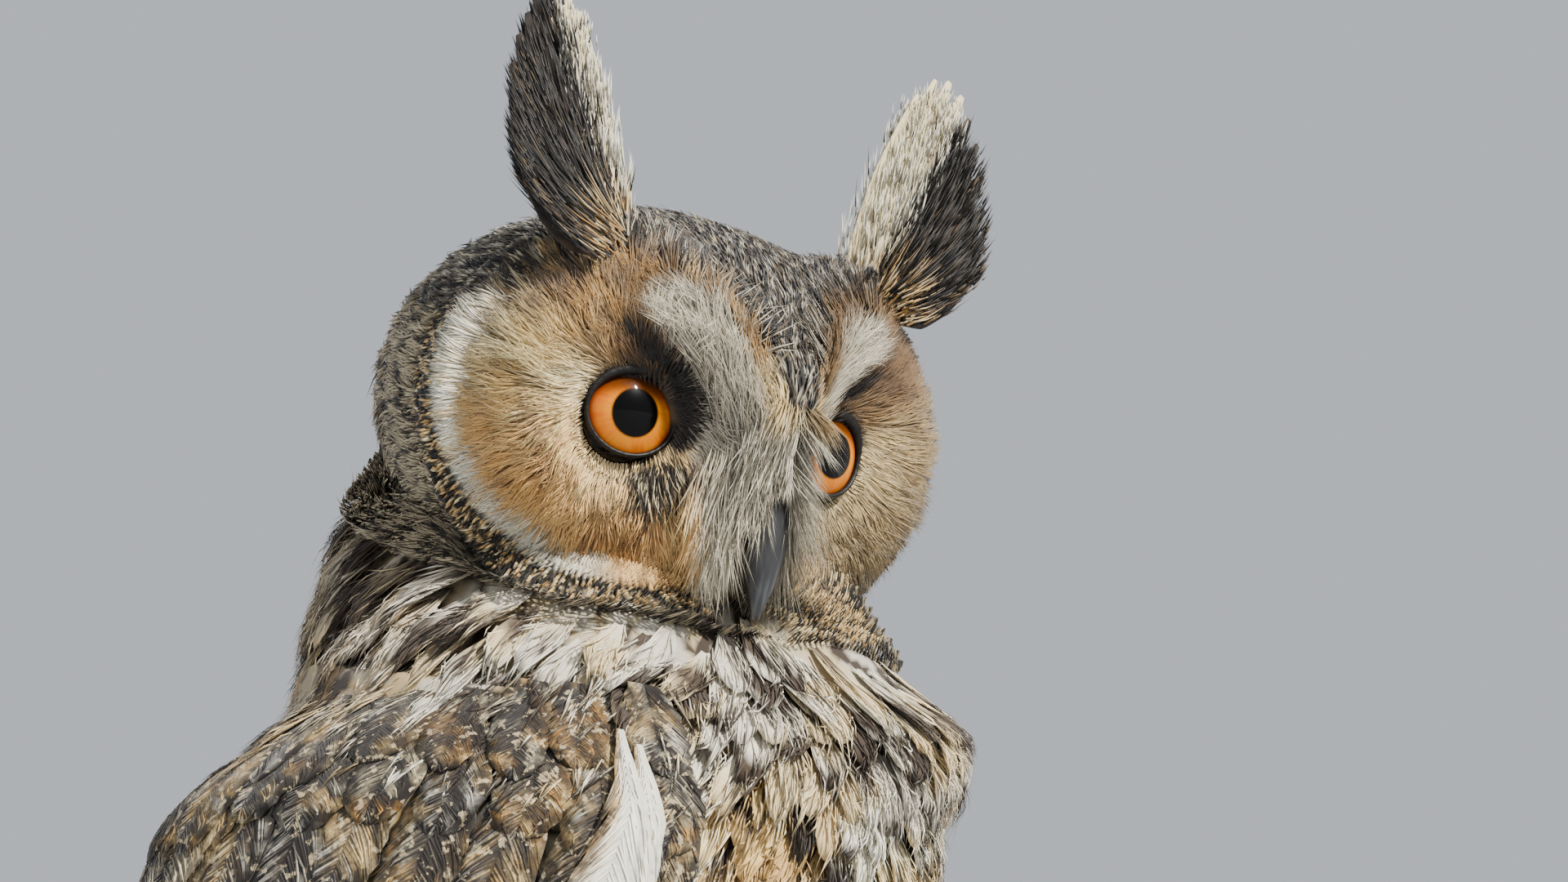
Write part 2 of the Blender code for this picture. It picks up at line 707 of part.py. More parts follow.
TUFT_OUTLINE = ((0.0, 0.5), (0.3, 0.95), (0.62, 1.0), (0.86, 0.62), (1.0, 0.16))


def make_tuft(label, side, skin):
    """An ear tuft: tapered feathers fanned from one root, the outer ones behind and shorter."""
    mirror = np.array((side, 1.0, 1.0))
    root = TUFT_ROOT * mirror
    up = TUFT_LEAN * mirror / np.linalg.norm(TUFT_LEAN)
    wide = np.array((side * math.cos(TUFT_FACING), math.sin(TUFT_FACING), 0))
    wide -= up * (wide @ up)
    wide /= np.linalg.norm(wide)
    rear = np.cross(wide, up) * side
    name = "tuft_" + label
    tuft = ball(name, (0, 0, 0), (1, 1, 1), 12, 8)
    reach = Matrix.Identity(4)
    for i, (axis, size) in enumerate(((wide, 8.5), (rear, 6.0), (up, 6.0))):
        column = HEAD_TURN @ axis * size * MM
        for j in range(3):
            reach[j][i] = column[j]
    reach.translation = Vector(from_head(root - up * 2.0 * MM))
    tuft.data.transform(reach)
    vanes = helper_collection(name + "_vanes")
    for i, (length, lean, half_width) in enumerate(TUFT_FEATHERS):
        turn = math.radians(lean)
        along = up * math.cos(turn) + wide * math.sin(turn)
        across_axis = wide * math.cos(turn) - up * math.sin(turn)
        start = root + wide * (i - 2.5) * 1.1 * MM

        def place(t, across, height):
            cup = across * across / (26 * MM)
            lie = (i * 1.15 - 3.2) * MM + 2.6 * MM * t * t
            curl = length * MM * 0.32 * math.sin(turn) * t * t
            sideways = across_axis * (across - curl)
            return from_head(start + along * length * MM * t + sideways + rear * (lie + height - cup))

        grids = vane_grid(TUFT_OUTLINE, place, half_width * MM, VANE_THICKNESS, CAMBERED)
        sheet_solid(f"{name}_{i}", *grids, vanes)
    combine(tuft, vanes, "UNION")
    cutters = helper_collection(name + "_cutters")
    head_form(name + "_seat", GAP, cutters)
    combine(tuft, cutters, "DIFFERENCE")
    return finish(tuft, skin)


# Legs, feet and claws

FOOT_X = 21 * MM
ANKLE_HEIGHT = 9 * MM
LEG_TOP = np.array((19, 13, 52)) * MM
LEG_RADII = np.array((17, 14.5, 11, 8.6)) * MM
TOE_RADIUS = 4.4 * MM
# Sideways place at the ankle and at the tip, and how far round the perch each toe goes, in degrees, front is negative
TOES = (("inner", -3, -7.5, -78), ("middle", 3, 2.5, -86), ("outer", 4, 9.5, 66), ("hind", -3.5, -3, 72))
CLAW_SWEEP = math.radians(50)
CLAW_RADIUS = 2.2 * MM


def round_perch(x, angle, over):
    """Point beside the perch: angle from its top, backward positive, and over is the distance from its axis."""
    return np.array((x, PERCH_Y + over * math.sin(angle), PERCH_TOP - PERCH_RADIUS + over * math.cos(angle)))


def perch_form(name, extra=0.0, collection=None):
    """A branch with slight swellings in its bark."""
    x = np.linspace(-PERCH_LENGTH / 2 - extra, PERCH_LENGTH / 2 + extra, 15)
    turn = np.arange(16) * 2 * math.pi / 16
    swell = 0.35 * np.sin(3 * turn[None, :] + 40 * x[:, None]) + 0.3 * np.sin(95 * x[:, None] + turn[None, :])
    knot = 1.6 * bell(x[:, None] - 66 * MM, 6 * MM) * bell(np.sin((turn[None, :] - 0.6) / 2), 0.4)
    radius = PERCH_RADIUS + extra + (np.clip(swell, -0.6, 0.2) + knot) * MM
    points = np.stack([
        np.broadcast_to(x[:, None], radius.shape),
        PERCH_Y + radius * np.sin(turn),
        PERCH_TOP - PERCH_RADIUS + radius * np.cos(turn),
    ], -1)
    return mesh_object(name, points, tube_faces(len(x), len(turn)), collection)


def make_leg(label, side, skin):
    """The feathered thigh and shank, from the belly down to the ankle."""
    ankle = np.array((side * FOOT_X, PERCH_Y, PERCH_TOP + ANKLE_HEIGHT + GAP))
    top = LEG_TOP * np.array((side, 1, 1)) + np.array((0, PERCH_Y, PERCH_TOP))
    middle = np.array((side * 20.5 * MM, PERCH_Y + 4 * MM, PERCH_TOP + 26 * MM))
    share = np.linspace(0, 1, 7)[:, None]
    path = (1 - share) ** 2 * top + 2 * share * (1 - share) * middle + share**2 * ankle
    path[-2] = path[-1] + np.array((0, 0, 5 * MM))
    radii = np.interp(np.linspace(0, 1, 7), (0, 0.35, 0.75, 1), LEG_RADII)
    leg = swept_tube("leg_" + label, path, radii, 16, 1.0)
    flat = np.array([v.co for v in leg.data.vertices])
    flat[-16:, 2] = ankle[2]
    leg.data.vertices.foreach_set("co", flat.ravel())
    cutters = helper_collection(f"leg_{label}_cutters")
    sweep_solid("belly", torso_stations(), BODY_SIDES, GAP, cutters)
    combine(leg, cutters, "DIFFERENCE")
    return finish(leg, skin)


def toe_path(side, start_x, end_x, sweep):
    share = np.linspace(0, 1, 7)
    path = []
    for t in share:
        x = side * (FOOT_X + (start_x + (end_x - start_x) * t) * MM)
        angle = math.radians(sweep) * (0.08 + 0.92 * t)
        path.append(round_perch(x, angle, PERCH_RADIUS + TOE_RADIUS + (1.2 * (1 - t)) * MM))
    return np.array(path)


def make_foot(label, side, skin, horn):
    """Four feathered toes round the perch, two in front and two behind, and a claw on each."""
    ankle = np.array((side * FOOT_X, PERCH_Y, PERCH_TOP + 5 * MM))
    foot = ball("foot_" + label, ankle, (9.4 * MM, 9.0 * MM, 7.2 * MM), 12, 8)
    toes = helper_collection(f"toes_{label}")
    for toe, start_x, end_x, sweep in TOES:
        path = toe_path(side, start_x, end_x, sweep)
        radii = TOE_RADIUS * np.array((0.95, 1.05, 1.0, 0.98, 0.96, 0.93, 0.74))
        swept_tube(f"toe_{label}_{toe}", path, radii, 7, 0.92, toes)
        make_claw(f"claw_{label}_{toe}", side, start_x, end_x, sweep, horn)
    combine(foot, toes, "UNION")
    cutters = helper_collection(f"foot_{label}_cutters")
    perch_form("perch_seat", GAP, cutters)
    top = PERCH_TOP + ANKLE_HEIGHT
    box = bmesh.new()
    bmesh.ops.create_cube(box, size=60 * MM)
    bmesh.ops.translate(box, vec=(side * FOOT_X, PERCH_Y, top + 30 * MM), verts=box.verts)
    mesh = bpy.data.meshes.new("ankle_plane")
    box.to_mesh(mesh)
    box.free()
    cutters.objects.link(bpy.data.objects.new("ankle_plane", mesh))
    combine(foot, cutters, "DIFFERENCE")
    return finish(foot, skin)


def make_claw(name, side, start_x, end_x, sweep, horn):
    """A hooked claw that goes on round the perch from the end of its toe, first in the toe's own direction."""
    way = math.copysign(1, sweep)
    over = PERCH_RADIUS + TOE_RADIUS
    start = math.radians(sweep) + way * GAP * 1.2 / over
    drift = (end_x - start_x) / (0.92 * math.radians(abs(sweep))) * CLAW_SWEEP
    path = []
    for t in np.linspace(0, 1, 6):
        x = side * (FOOT_X + (end_x + drift * (t - t * t / 2)) * MM)
        path.append(round_perch(x, start + way * CLAW_SWEEP * t, over + (2.4 * t * t - 3.6 * t**3) * MM))
    radii = CLAW_RADIUS * np.array((1.0, 0.96, 0.82, 0.6, 0.36, 0.12))
    claw = swept_tube(name, path, radii, 6, 0.85)
    return finish(claw, horn)


# Stand

def make_stand(wood, steel):
    made = bmesh.new()
    bmesh.ops.create_cone(
        made, cap_ends=True, segments=44, radius1=BASE_RADIUS, radius2=BASE_RADIUS, depth=BASE_THICKNESS
    )
    bmesh.ops.translate(made, vec=(0, 0, BASE_THICKNESS / 2), verts=made.verts)
    mesh = bpy.data.meshes.new("stand_base")
    made.to_mesh(mesh)
    made.free()
    base = bpy.data.objects.new("stand_base", mesh)
    bpy.context.scene.collection.objects.link(base)
    edge = base.modifiers.new("edge", "BEVEL")
    edge.width = BASE_EDGE
    edge.segments = 1
    edge.limit_method = "ANGLE"
    edge.angle_limit = math.radians(60)
    finish(base, wood)
    for label, side in BOTH_SIDES:
        foot = np.array((side * ROD_SPREAD, PERCH_Y, BASE_THICKNESS + GAP))
        head = foot.copy()
        head[2] = PERCH_TOP - PERCH_RADIUS
        rod = swept_tube("stand_rod_" + label, (foot, (foot + head) / 2, head), [ROD_RADIUS] * 3, 16)
        cutters = helper_collection("rod_cutters_" + label)
        perch_form("rod_seat", GAP, cutters)
        combine(rod, cutters, "DIFFERENCE")
        finish(rod, steel)


def clear_scene():
    for obj in list(bpy.data.objects):
        bpy.data.objects.remove(obj)


def main():
    clear_scene()
    feathers = material("feathers", (0.46, 0.36, 0.25), 0.85)
    wing_feathers = material("wing_feathers", (0.30, 0.23, 0.16), 0.8)
    horn = material("horn", (0.05, 0.05, 0.055), 0.35)
    orange = material("eye_orange", (0.85, 0.30, 0.03), 0.08)
    toe_feathers = material("toe_feathers", (0.62, 0.50, 0.34), 0.85)
    bark = material("bark", (0.20, 0.16, 0.13), 0.85)
    wood = material("stand_wood", (0.16, 0.09, 0.05), 0.45)
    steel = material("stand_steel", (0.35, 0.35, 0.36), 0.35, 1.0)
    make_torso(feathers)
    make_neck(feathers)
    make_head(feathers)
    make_bill(horn)
    make_tail(wing_feathers)
    for label, side in BOTH_SIDES:
        make_eye(label, side, orange)
        make_tuft(label, side, wing_feathers)
        make_wing("wing_" + label, side, wing_feathers)
        make_leg(label, side, toe_feathers)
        make_foot(label, side, toe_feathers, horn)
    finish(perch_form("perch"), bark)
    make_stand(wood, steel)


main()
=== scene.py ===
"""A long-eared owl with all its plumage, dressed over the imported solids.

Every feather, lock and bristle is a small closed mesh. Their places come from the same body surface as the solids:
a spine with a girth at each station, a head with its facial disc, and the two folded wings that lie on the body.
"""

import math

import bpy
import numpy as np
from mathutils import Matrix


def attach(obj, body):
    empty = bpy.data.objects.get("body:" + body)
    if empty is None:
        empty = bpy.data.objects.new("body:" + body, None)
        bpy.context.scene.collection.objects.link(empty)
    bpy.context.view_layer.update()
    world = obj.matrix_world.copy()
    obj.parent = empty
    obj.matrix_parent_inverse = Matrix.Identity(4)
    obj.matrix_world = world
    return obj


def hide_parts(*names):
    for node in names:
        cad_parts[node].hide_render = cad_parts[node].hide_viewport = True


bl_info = {
    "name": "Long-eared owl",
    "version": (1, 0, 0),
    "blender": (4, 5, 0),
    "location": "View3D > Sidebar > Owl",
    "description": "Plumage, eyes, bill, claws, perch and stand of a perched long-eared owl",
    "category": "Object",
}

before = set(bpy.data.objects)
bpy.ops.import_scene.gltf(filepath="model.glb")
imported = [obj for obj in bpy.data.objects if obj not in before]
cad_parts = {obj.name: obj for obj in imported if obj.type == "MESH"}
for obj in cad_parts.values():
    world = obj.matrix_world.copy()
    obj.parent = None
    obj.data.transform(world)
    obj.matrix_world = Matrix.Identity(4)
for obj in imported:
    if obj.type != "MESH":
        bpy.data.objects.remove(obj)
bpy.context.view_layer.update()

MM = 0.001
BOTH_SIDES = (("left", 1), ("right", -1))

# The surface of the solids: the same numbers as in the part

PERCH_TOP = 118 * MM
PERCH_Y = -20 * MM
PERCH_RADIUS = 11 * MM
PERCH_LENGTH = 168 * MM
SPINE = np.array([
    (-27, 217), (-20, 198), (-14, 180), (-9, 158), (-3, 130), (8, 98), (23, 66), (39, 37),
    (54, 7), (67, -20), (80, -47), (92, -72), (102, -94),
], float)
BODY_GIRTH = np.array([
    (22, 24, 34), (28, 34, 45), (40, 56, 48), (50, 66, 44), (56, 65, 49), (54, 59, 48), (46, 47, 40),
    (30, 28, 25), (12, 9, 10), (12, 9, 10), (12, 9, 10), (12, 9, 10), (12, 9, 10),
], float)
WING_GIRTH = np.array([
    (22, 24, 34), (28, 34, 45), (40, 56, 48), (50, 66, 44), (57, 65, 50), (56, 59, 50), (52, 50, 46),
    (46, 41, 38), (41, 32, 31), (37, 26, 25), (34, 21, 20), (31, 17, 16.5), (29, 14, 14),
], float)
HEAD_HALF = np.array((47, 41, 35)) * MM
HEAD_REAR = 35 * MM
HEAD_YAW, HEAD_PITCH, HEAD_ROLL = math.radians(-28), math.radians(17), math.radians(3)
HEAD_CENTRE = np.array((0, -24 * MM + PERCH_Y, 216 * MM + PERCH_TOP))
EYE_CENTRE = np.array((17.2, -17.8, -0.4)) * MM
EYE_RADIUS = 11 * MM
EYE_OUTWARD = math.radians(13)
EYE_UPWARD = math.radians(7.5)
DISC_CENTRE = np.array((21, -33, 1)) * MM
SOCKET_CENTRE = np.array((18.5, -33, -0.4)) * MM
DISC_RADIUS = 33 * MM
WING_LEADING = ((176, 126), (150, 137), (94, 133), (36, 114), (-20, 90), (-94, 72))
WING_TRAILING = ((176, 30), (150, 21), (94, 18), (36, 17), (-20, 19), (-94, 22))
BILL_PATH = np.array((
    (0, -31, -3), (0, -36.5, -5.5), (0, -40.3, -10), (0, -42.6, -16), (0, -43.9, -22), (0, -44.6, -27.5),
)) * MM
BILL_RADII = np.array((5.4, 5.5, 4.9, 3.8, 2.4, 0.5)) * MM
LOWER_PATH = np.array(((0, -28, -16), (0, -33.5, -19), (0, -37.2, -22))) * MM
LOWER_RADII = np.array((4.8, 3.8, 1.6)) * MM
TUFT_ROOT = np.array((25, -20, 26)) * MM
TUFT_LEAN = np.array((12, 11, 34.0))
TUFT_FACING = math.radians(15)
FOOT_X = 21 * MM
TOE_RADIUS = 4.4 * MM
CLAW_SWEEP = math.radians(50)
CLAW_RADIUS = 2.2 * MM
TOES = (("inner", -3, -7.5, -78), ("middle", 3, 2.5, -86), ("outer", 4, 9.5, 66), ("hind", -3.5, -3, 72))


def natural_spline(knots, values):
    """The smooth curve through each row of values: a cubic between knots, with no bend at its two ends."""
    count = len(knots)
    step = np.diff(knots)
    system = np.eye(count)
    right = np.zeros_like(values)
    for i in range(1, count - 1):
        system[i, i - 1 : i + 2] = (step[i - 1], 2 * (step[i - 1] + step[i]), step[i])
        right[i] = 6 * ((values[i + 1] - values[i]) / step[i] - (values[i] - values[i - 1]) / step[i - 1])
    bend = np.linalg.solve(system, right)

    def at(u):
        u = np.clip(np.asarray(u, float), knots[0], knots[-1])
        i = np.clip(np.searchsorted(knots, u) - 1, 0, count - 2)
        h = step[i][..., None]
        a = (knots[i + 1] - u)[..., None] / h
        b = 1 - a
        return a * values[i] + b * values[i + 1] + ((a**3 - a) * bend[i] + (b**3 - b) * bend[i + 1]) * h**2 / 6

    return at


KNOTS = np.concatenate([[0.0], np.cumsum(np.linalg.norm(np.diff(SPINE, axis=0), axis=1))]) * MM
spine_at = natural_spline(KNOTS, SPINE * MM)
body_girth = natural_spline(KNOTS, BODY_GIRTH * MM)
wing_girth = natural_spline(KNOTS, WING_GIRTH * MM)
SPINE_FINE = np.linspace(0, KNOTS[-1], 2000)
SPINE_HEIGHTS = spine_at(SPINE_FINE)[:, 1]


def station(height_mm):
    """Distance down the spine where it passes a height over the perch, in millimetres."""
    return np.interp(-np.asarray(height_mm, float) * MM, -SPINE_HEIGHTS, SPINE_FINE)


def height_at(u):
    """Height over the perch of the spine at u, in millimetres."""
    return np.interp(u, SPINE_FINE, SPINE_HEIGHTS) / MM


def smoothstep(x):
    x = np.clip(x, 0, 1)
    return x * x * (3 - 2 * x)


def bell(x, width):
    return np.exp(-((x / width) ** 2))


def unit(v):
    return v / np.maximum(np.linalg.norm(v, axis=-1, keepdims=True), 1e-12)


def spine_frame(u):
    """Centre of the spine at u and the unit vector that points out of the bird's back there."""
    step = 0.5 * MM
    centre = spine_at(u)
    run = unit(spine_at(np.asarray(u) + step) - spine_at(np.asarray(u) - step))
    zero = np.zeros(centre.shape[:-1])
    centre = np.stack([zero, centre[..., 0] + PERCH_Y, centre[..., 1] + PERCH_TOP], -1)
    return centre, np.stack([zero, -run[..., 1], run[..., 0]], -1)


def mantle(u, angle):
    """The low ridge of feathers between the wings: 8 mm high within 19 degrees of the middle of the back."""
    across = smoothstep((math.radians(19) - np.abs(angle)) / math.radians(9))
    along = smoothstep((u - station(166)) / (22 * MM)) * smoothstep((station(44) - u) / (30 * MM))
    return 8 * MM * across * along


def ruff(u, angle):
    """Fullness of the neck on the side that the head turns from, and the hollow of the throat."""
    places = station((217, 198, 180, 158))
    full = np.interp(u, places, (0, 9 * MM, 11 * MM, 0))
    hollow = np.interp(u, station((217, 198, 180, 162)), (0, 5 * MM, 7 * MM, 0))
    fold = np.exp((np.cos(angle - math.radians(150)) - 1) / 0.27)
    return full * fold - hollow * np.exp((np.cos(angle - math.radians(207)) - 1) / 0.12)


def sweep_point(girth, u, angle, height):
    """centre(u) + x * half sin(angle) + back * depth cos(angle), moved out by height along the ellipse's normal."""
    u, angle, height = np.broadcast_arrays(np.asarray(u, float), np.asarray(angle, float), np.asarray(height, float))
    centre, back = spine_frame(u)
    half, front, rear = np.moveaxis(girth(u), -1, 0)
    depth = np.where(np.cos(angle) > 0, rear, front)
    normal = unit(np.stack([np.sin(angle) / half, np.cos(angle) / depth], -1))
    sideways = half * np.sin(angle) + height * normal[..., 0]
    backward = depth * np.cos(angle) + height * normal[..., 1]
    return centre + sideways[..., None] * np.array((1.0, 0, 0)) + backward[..., None] * back


def body_point(u, angle, height=0.0):
    return sweep_point(body_girth, u, angle, height + mantle(u, angle) + ruff(u, angle))


def wing_point(u, angle, height=0.0):
    return sweep_point(wing_girth, u, angle, height)


def edge_angle(table, u):
    heights, degrees = np.array(table, float).T
    return np.interp(u, station(heights), np.radians(degrees))


def wing_top(across):
    """Distance down the spine where the wing begins: lower at the back than at its leading edge."""
    return station(170 - 16 * (1 - across))


def wing_thickness(u, across):
    """Height of the wing over the body, with across from 0 at its back edge to 1 at its leading edge."""
    foot = station(-2)
    rise = smoothstep((u - wing_top(across)) / (20 * MM)) ** 0.5
    fall = np.clip((foot - u) / (foot - station(128)), 0, 1)
    edge = (1 - np.minimum(np.abs(2 * across - 1), 1) ** 5) ** 0.6
    return 0.9 * MM + 10.1 * MM * rise * fall**1.5 * edge


def wing_share(u, angle):
    """Place across the folded wing at any angle round the body: 0 at its back edge and 1 at its leading edge."""
    first, last = edge_angle(WING_TRAILING, u), edge_angle(WING_LEADING, u)
    return (np.abs(angle) - first) / (last - first)


def wing_cover(u, angle):
    """Height of the folded wing at any point of the body, and 0 where there is no wing."""
    across = wing_share(u, angle)
    inside = (across > 0) & (across < 1) & (u > wing_top(np.clip(across, 0, 1)))
    return np.where(inside, wing_thickness(u, np.clip(across, 0, 1)), 0.0)


def turned(yaw, pitch, roll):
    """Rotation about Z, then X, then Y of the head's own axes."""
    cy, sy, cp, sp, cr, sr = (f(a) for a in (yaw, pitch, roll) for f in (math.cos, math.sin))
    about_z = np.array(((cy, -sy, 0), (sy, cy, 0), (0, 0, 1)))
    about_x = np.array(((1, 0, 0), (0, cp, -sp), (0, sp, cp)))
    return about_z @ about_x @ np.array(((cr, 0, sr), (0, 1, 0), (-sr, 0, cr)))


HEAD_TURN = turned(HEAD_YAW, HEAD_PITCH, HEAD_ROLL)


def from_head(points):
    return np.asarray(points) @ HEAD_TURN.T + HEAD_CENTRE


def to_head(points):
    return (np.asarray(points) - HEAD_CENTRE) @ HEAD_TURN


def segment_distance(x, z, start, end):
    start, end = np.array(start, float), np.array(end, float)
    run = end - start
    t = np.clip(((x - start[0]) * run[0] + (z - start[1]) * run[1]) / (run @ run), 0, 1)
    return np.hypot(x - start[0] - t * run[0], z - start[1] - t * run[1])


def head_surface(polar, round_, height=0.0):
    """An egg with a flattened face, with hollows round the eyes, the disc's rim, the ridge over the bill and brows."""
    polar, round_ = np.broadcast_arrays(np.asarray(polar, float), np.asarray(round_, float))
    flat = np.cos(polar) + 0.05 * np.sin(2 * polar)
    ray = np.stack([np.sin(polar) * np.sin(round_), -flat, np.sin(polar) * np.cos(round_)], -1)
    half = np.broadcast_to(HEAD_HALF, ray.shape).copy()
    half[..., 1] = np.where(ray[..., 1] > 0, HEAD_REAR, HEAD_HALF[1])
    base = ray * half
    normal = unit(ray / half)
    x, z = np.abs(base[..., 0]), base[..., 2]
    face = smoothstep((-base[..., 1] / MM + 2) / 14)
    from_eye = np.linalg.norm(np.stack([x, base[..., 1], z], -1) - DISC_CENTRE, axis=-1)
    rim = 4.0 * MM * bell(from_eye - DISC_RADIUS, 4.2 * MM) * smoothstep((x - 9 * MM) / (10 * MM))
    from_socket = np.linalg.norm(np.stack([x, base[..., 1], z], -1) - SOCKET_CENTRE, axis=-1)
    hollow = 16.6 * MM * bell(from_socket, 14 * MM)
    ridge = 6.5 * MM * bell(x, 7.5 * MM) * bell(z + 2 * MM, 20 * MM)
    brow = 3.6 * MM * bell(segment_distance(x, z, (5 * MM, 9 * MM), (25 * MM, 29 * MM)), 6.5 * MM)
    out = face * rim + height
    forward = face * (ridge + brow - hollow)
    return base + normal * out[..., None] + forward[..., None] * np.array((0, -1.0, 0))


def over_neck(points, normal=1.2 * MM):
    """How far, and which way, places on the bird have to move out of the spine to lie over the neck's outline."""
    u, angle = body_place(points)
    centre, back = spine_frame(u)
    out = np.sin(angle)[:, None] * np.array((1.0, 0, 0)) + np.cos(angle)[:, None] * back
    outline = ((body_point(u, angle) - centre) * out).sum(-1)
    gap = outline + normal - ((points - centre) * out).sum(-1)
    return np.clip(gap, 0, 18 * MM)[:, None] * out


def face_gap(u, angle):
    """Distance from the disc's centre to the place where a line out of the spine leaves the head, 1 m if it misses."""
    centre, back = spine_frame(u)
    out = np.sin(angle)[..., None] * np.array((1.0, 0, 0)) + np.cos(angle)[..., None] * back
    start, way = to_head(centre), out @ HEAD_TURN
    c, d = start / HEAD_HALF, way / HEAD_HALF
    dot, long = (c * d).sum(-1), (d * d).sum(-1)
    root = dot**2 - long * ((c * c).sum(-1) - 1)
    reach = (-dot + np.sqrt(np.maximum(root, 0))) / long
    place = start + way * reach[..., None]
    place = np.concatenate([np.abs(place[..., :1]), place[..., 1:]], -1)
    return np.where((root > 0) & (reach > 0), np.linalg.norm(place - DISC_CENTRE, axis=-1), 1.0)


def head_frame(polar, round_):
    """Point, outward normal and backward tangent of the head at each place, in the head's own axes."""
    step = 0.01
    point = head_surface(polar, round_)
    down = head_surface(polar + step, round_) - head_surface(polar - step, round_)
    turn = head_surface(polar, round_ + step) - head_surface(polar, round_ - step)
    normal = unit(np.cross(turn, down))
    flip = np.sign((normal * (point / HEAD_HALF**2)).sum(-1, keepdims=True))
    return point, normal * flip, unit(down)


def noise(points, size, seed, waves=9):
    """A smooth random field from -1 to 1: the sum of plane waves in seeded directions, about size long."""
    draw = np.random.default_rng(seed)
    direction = draw.normal(size=(waves, 3))
    direction /= np.linalg.norm(direction, axis=1, keepdims=True)
    rate = draw.uniform(0.6, 1.5, waves) * 2 * math.pi / size
    phase = draw.uniform(0, 2 * math.pi, waves)
    total = np.zeros(np.asarray(points).shape[:-1])
    for i in range(waves):
        total = total + np.sin((points @ direction[i]) * rate[i] + phase[i])
    return np.clip(total / (0.75 * waves**0.5 * 1.4), -1, 1)


# Mesh building

def put_mesh(name, points, triangles, material, colour=None, bake=None, fields=None, smooth=True):
    """A mesh object from whole arrays: points, triangles, a colour for each point and a bake place for each point."""
    mesh = bpy.data.meshes.new(name)
    points = np.asarray(points, np.float32).reshape(-1, 3)
    triangles = np.asarray(triangles, np.int32).reshape(-1, 3)
    mesh.vertices.add(len(points))
    mesh.vertices.foreach_set("co", points.ravel())
    mesh.loops.add(len(triangles) * 3)
    mesh.loops.foreach_set("vertex_index", triangles.ravel())
    mesh.polygons.add(len(triangles))
    mesh.polygons.foreach_set("loop_start", np.arange(len(triangles), dtype=np.int32) * 3)
    mesh.update(calc_edges=True)
    mesh.polygons.foreach_set("use_smooth", np.full(len(triangles), smooth))
    if bake is not None:
        layer = mesh.uv_layers.new(name="OFBake")
        uv = np.asarray(bake, np.float32).reshape(-1, 2)[triangles.ravel()]
        layer.data.foreach_set("uv", uv.ravel())
    if colour is not None:
        linear = to_linear(np.asarray(colour, float).reshape(-1, 3))
        rgba = np.concatenate([linear, np.ones((len(linear), 1))], 1).astype(np.float32)
        layer = mesh.color_attributes.new(name="marking", type="FLOAT_COLOR", domain="POINT")
        layer.data.foreach_set("color", rgba.ravel())
    for field, values in (fields or {}).items():
        layer = mesh.attributes.new(name=field, type="FLOAT_VECTOR", domain="POINT")
        layer.data.foreach_set("vector", np.asarray(values, np.float32).ravel())
    obj = bpy.data.objects.new(name, mesh)
    bpy.context.scene.collection.objects.link(obj)
    mesh.materials.append(material)
    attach(obj, "root")
    return obj


def to_linear(srgb):
    srgb = np.clip(srgb, 0, 1)
    return np.where(srgb <= 0.04045, srgb / 12.92, ((srgb + 0.055) / 1.055) ** 2.4)


def grid_triangles(rows, columns, wrap=False):
    """Triangles of a grid of rows and columns of points, closed across its columns if wrap is set."""
    r, c = np.meshgrid(np.arange(rows - 1), np.arange(columns if wrap else columns - 1), indexing="ij")
    a = r * columns + c
    b = r * columns + (c + 1) % columns
    return np.concatenate([
        np.stack([a, b, b + columns], -1).reshape(-1, 3),
        np.stack([a, b + columns, a + columns], -1).reshape(-1, 3),
    ])


def strand_template(rings):
    """Triangles of one strand: rings of three points, closed by a cap at the root and a point at the tip."""
    tube = grid_triangles(rings, 3, wrap=True)
    tip = rings * 3
    last = tip - 3
    ends = np.array([(0, 2, 1), (last, last + 1, tip), (last + 1, last + 2, tip), (last + 2, last, tip)])
    return np.concatenate([tube, ends])


def strands(path, side, out, half, thick):
    """Thin closed strands. path is (count, rings + 1, 3) and its last point is the tip.

    Each ring has three points: path - side * half, path + out * thick and path + side * half.
    """
    count, steps = path.shape[:2]
    rings = steps - 1
    side, out = np.broadcast_to(side, path.shape), np.broadcast_to(out, path.shape)
    half = np.broadcast_to(half, (count, steps))[..., None]
    thick = np.broadcast_to(thick, (count, steps))[..., None]
    ring = np.stack([path - side * half, path + out * thick, path + side * half], 2)[:, :rings]
    points = np.concatenate([ring.reshape(count, rings * 3, 3), path[:, -1:]], 1)
    template = strand_template(rings)
    faces = template[None] + np.arange(count)[:, None, None] * (rings * 3 + 1)
    return points, faces.reshape(-1, 3)


def strand_places(steps, share):
    """Along and across of each point of a strand, as strands() orders them."""
    rings = steps - 1
    along = np.concatenate([np.repeat(share[:rings], 3), share[-1:]])
    across = np.concatenate([np.tile((-1.0, 0.0, 1.0), rings), [0.0]])
    return along, across


def by_step(values):
    """Values for each step of each strand, (count, steps, 3), repeated for the points of its rings."""
    count, steps = values.shape[:2]
    return np.concatenate([np.repeat(values[:, :-1], 3, 1), values[:, -1:]], 1)


def bake_patches(root_uv, along, across, size=0.003):
    """Each strand's patch: a square of the given size at the place of its root on the unwrapped skin."""
    offset = np.stack([across * size / 2, (along - 0.5) * size], -1)
    spot = size + root_uv * (1 - 2 * size)
    return spot[:, None] + offset[None]


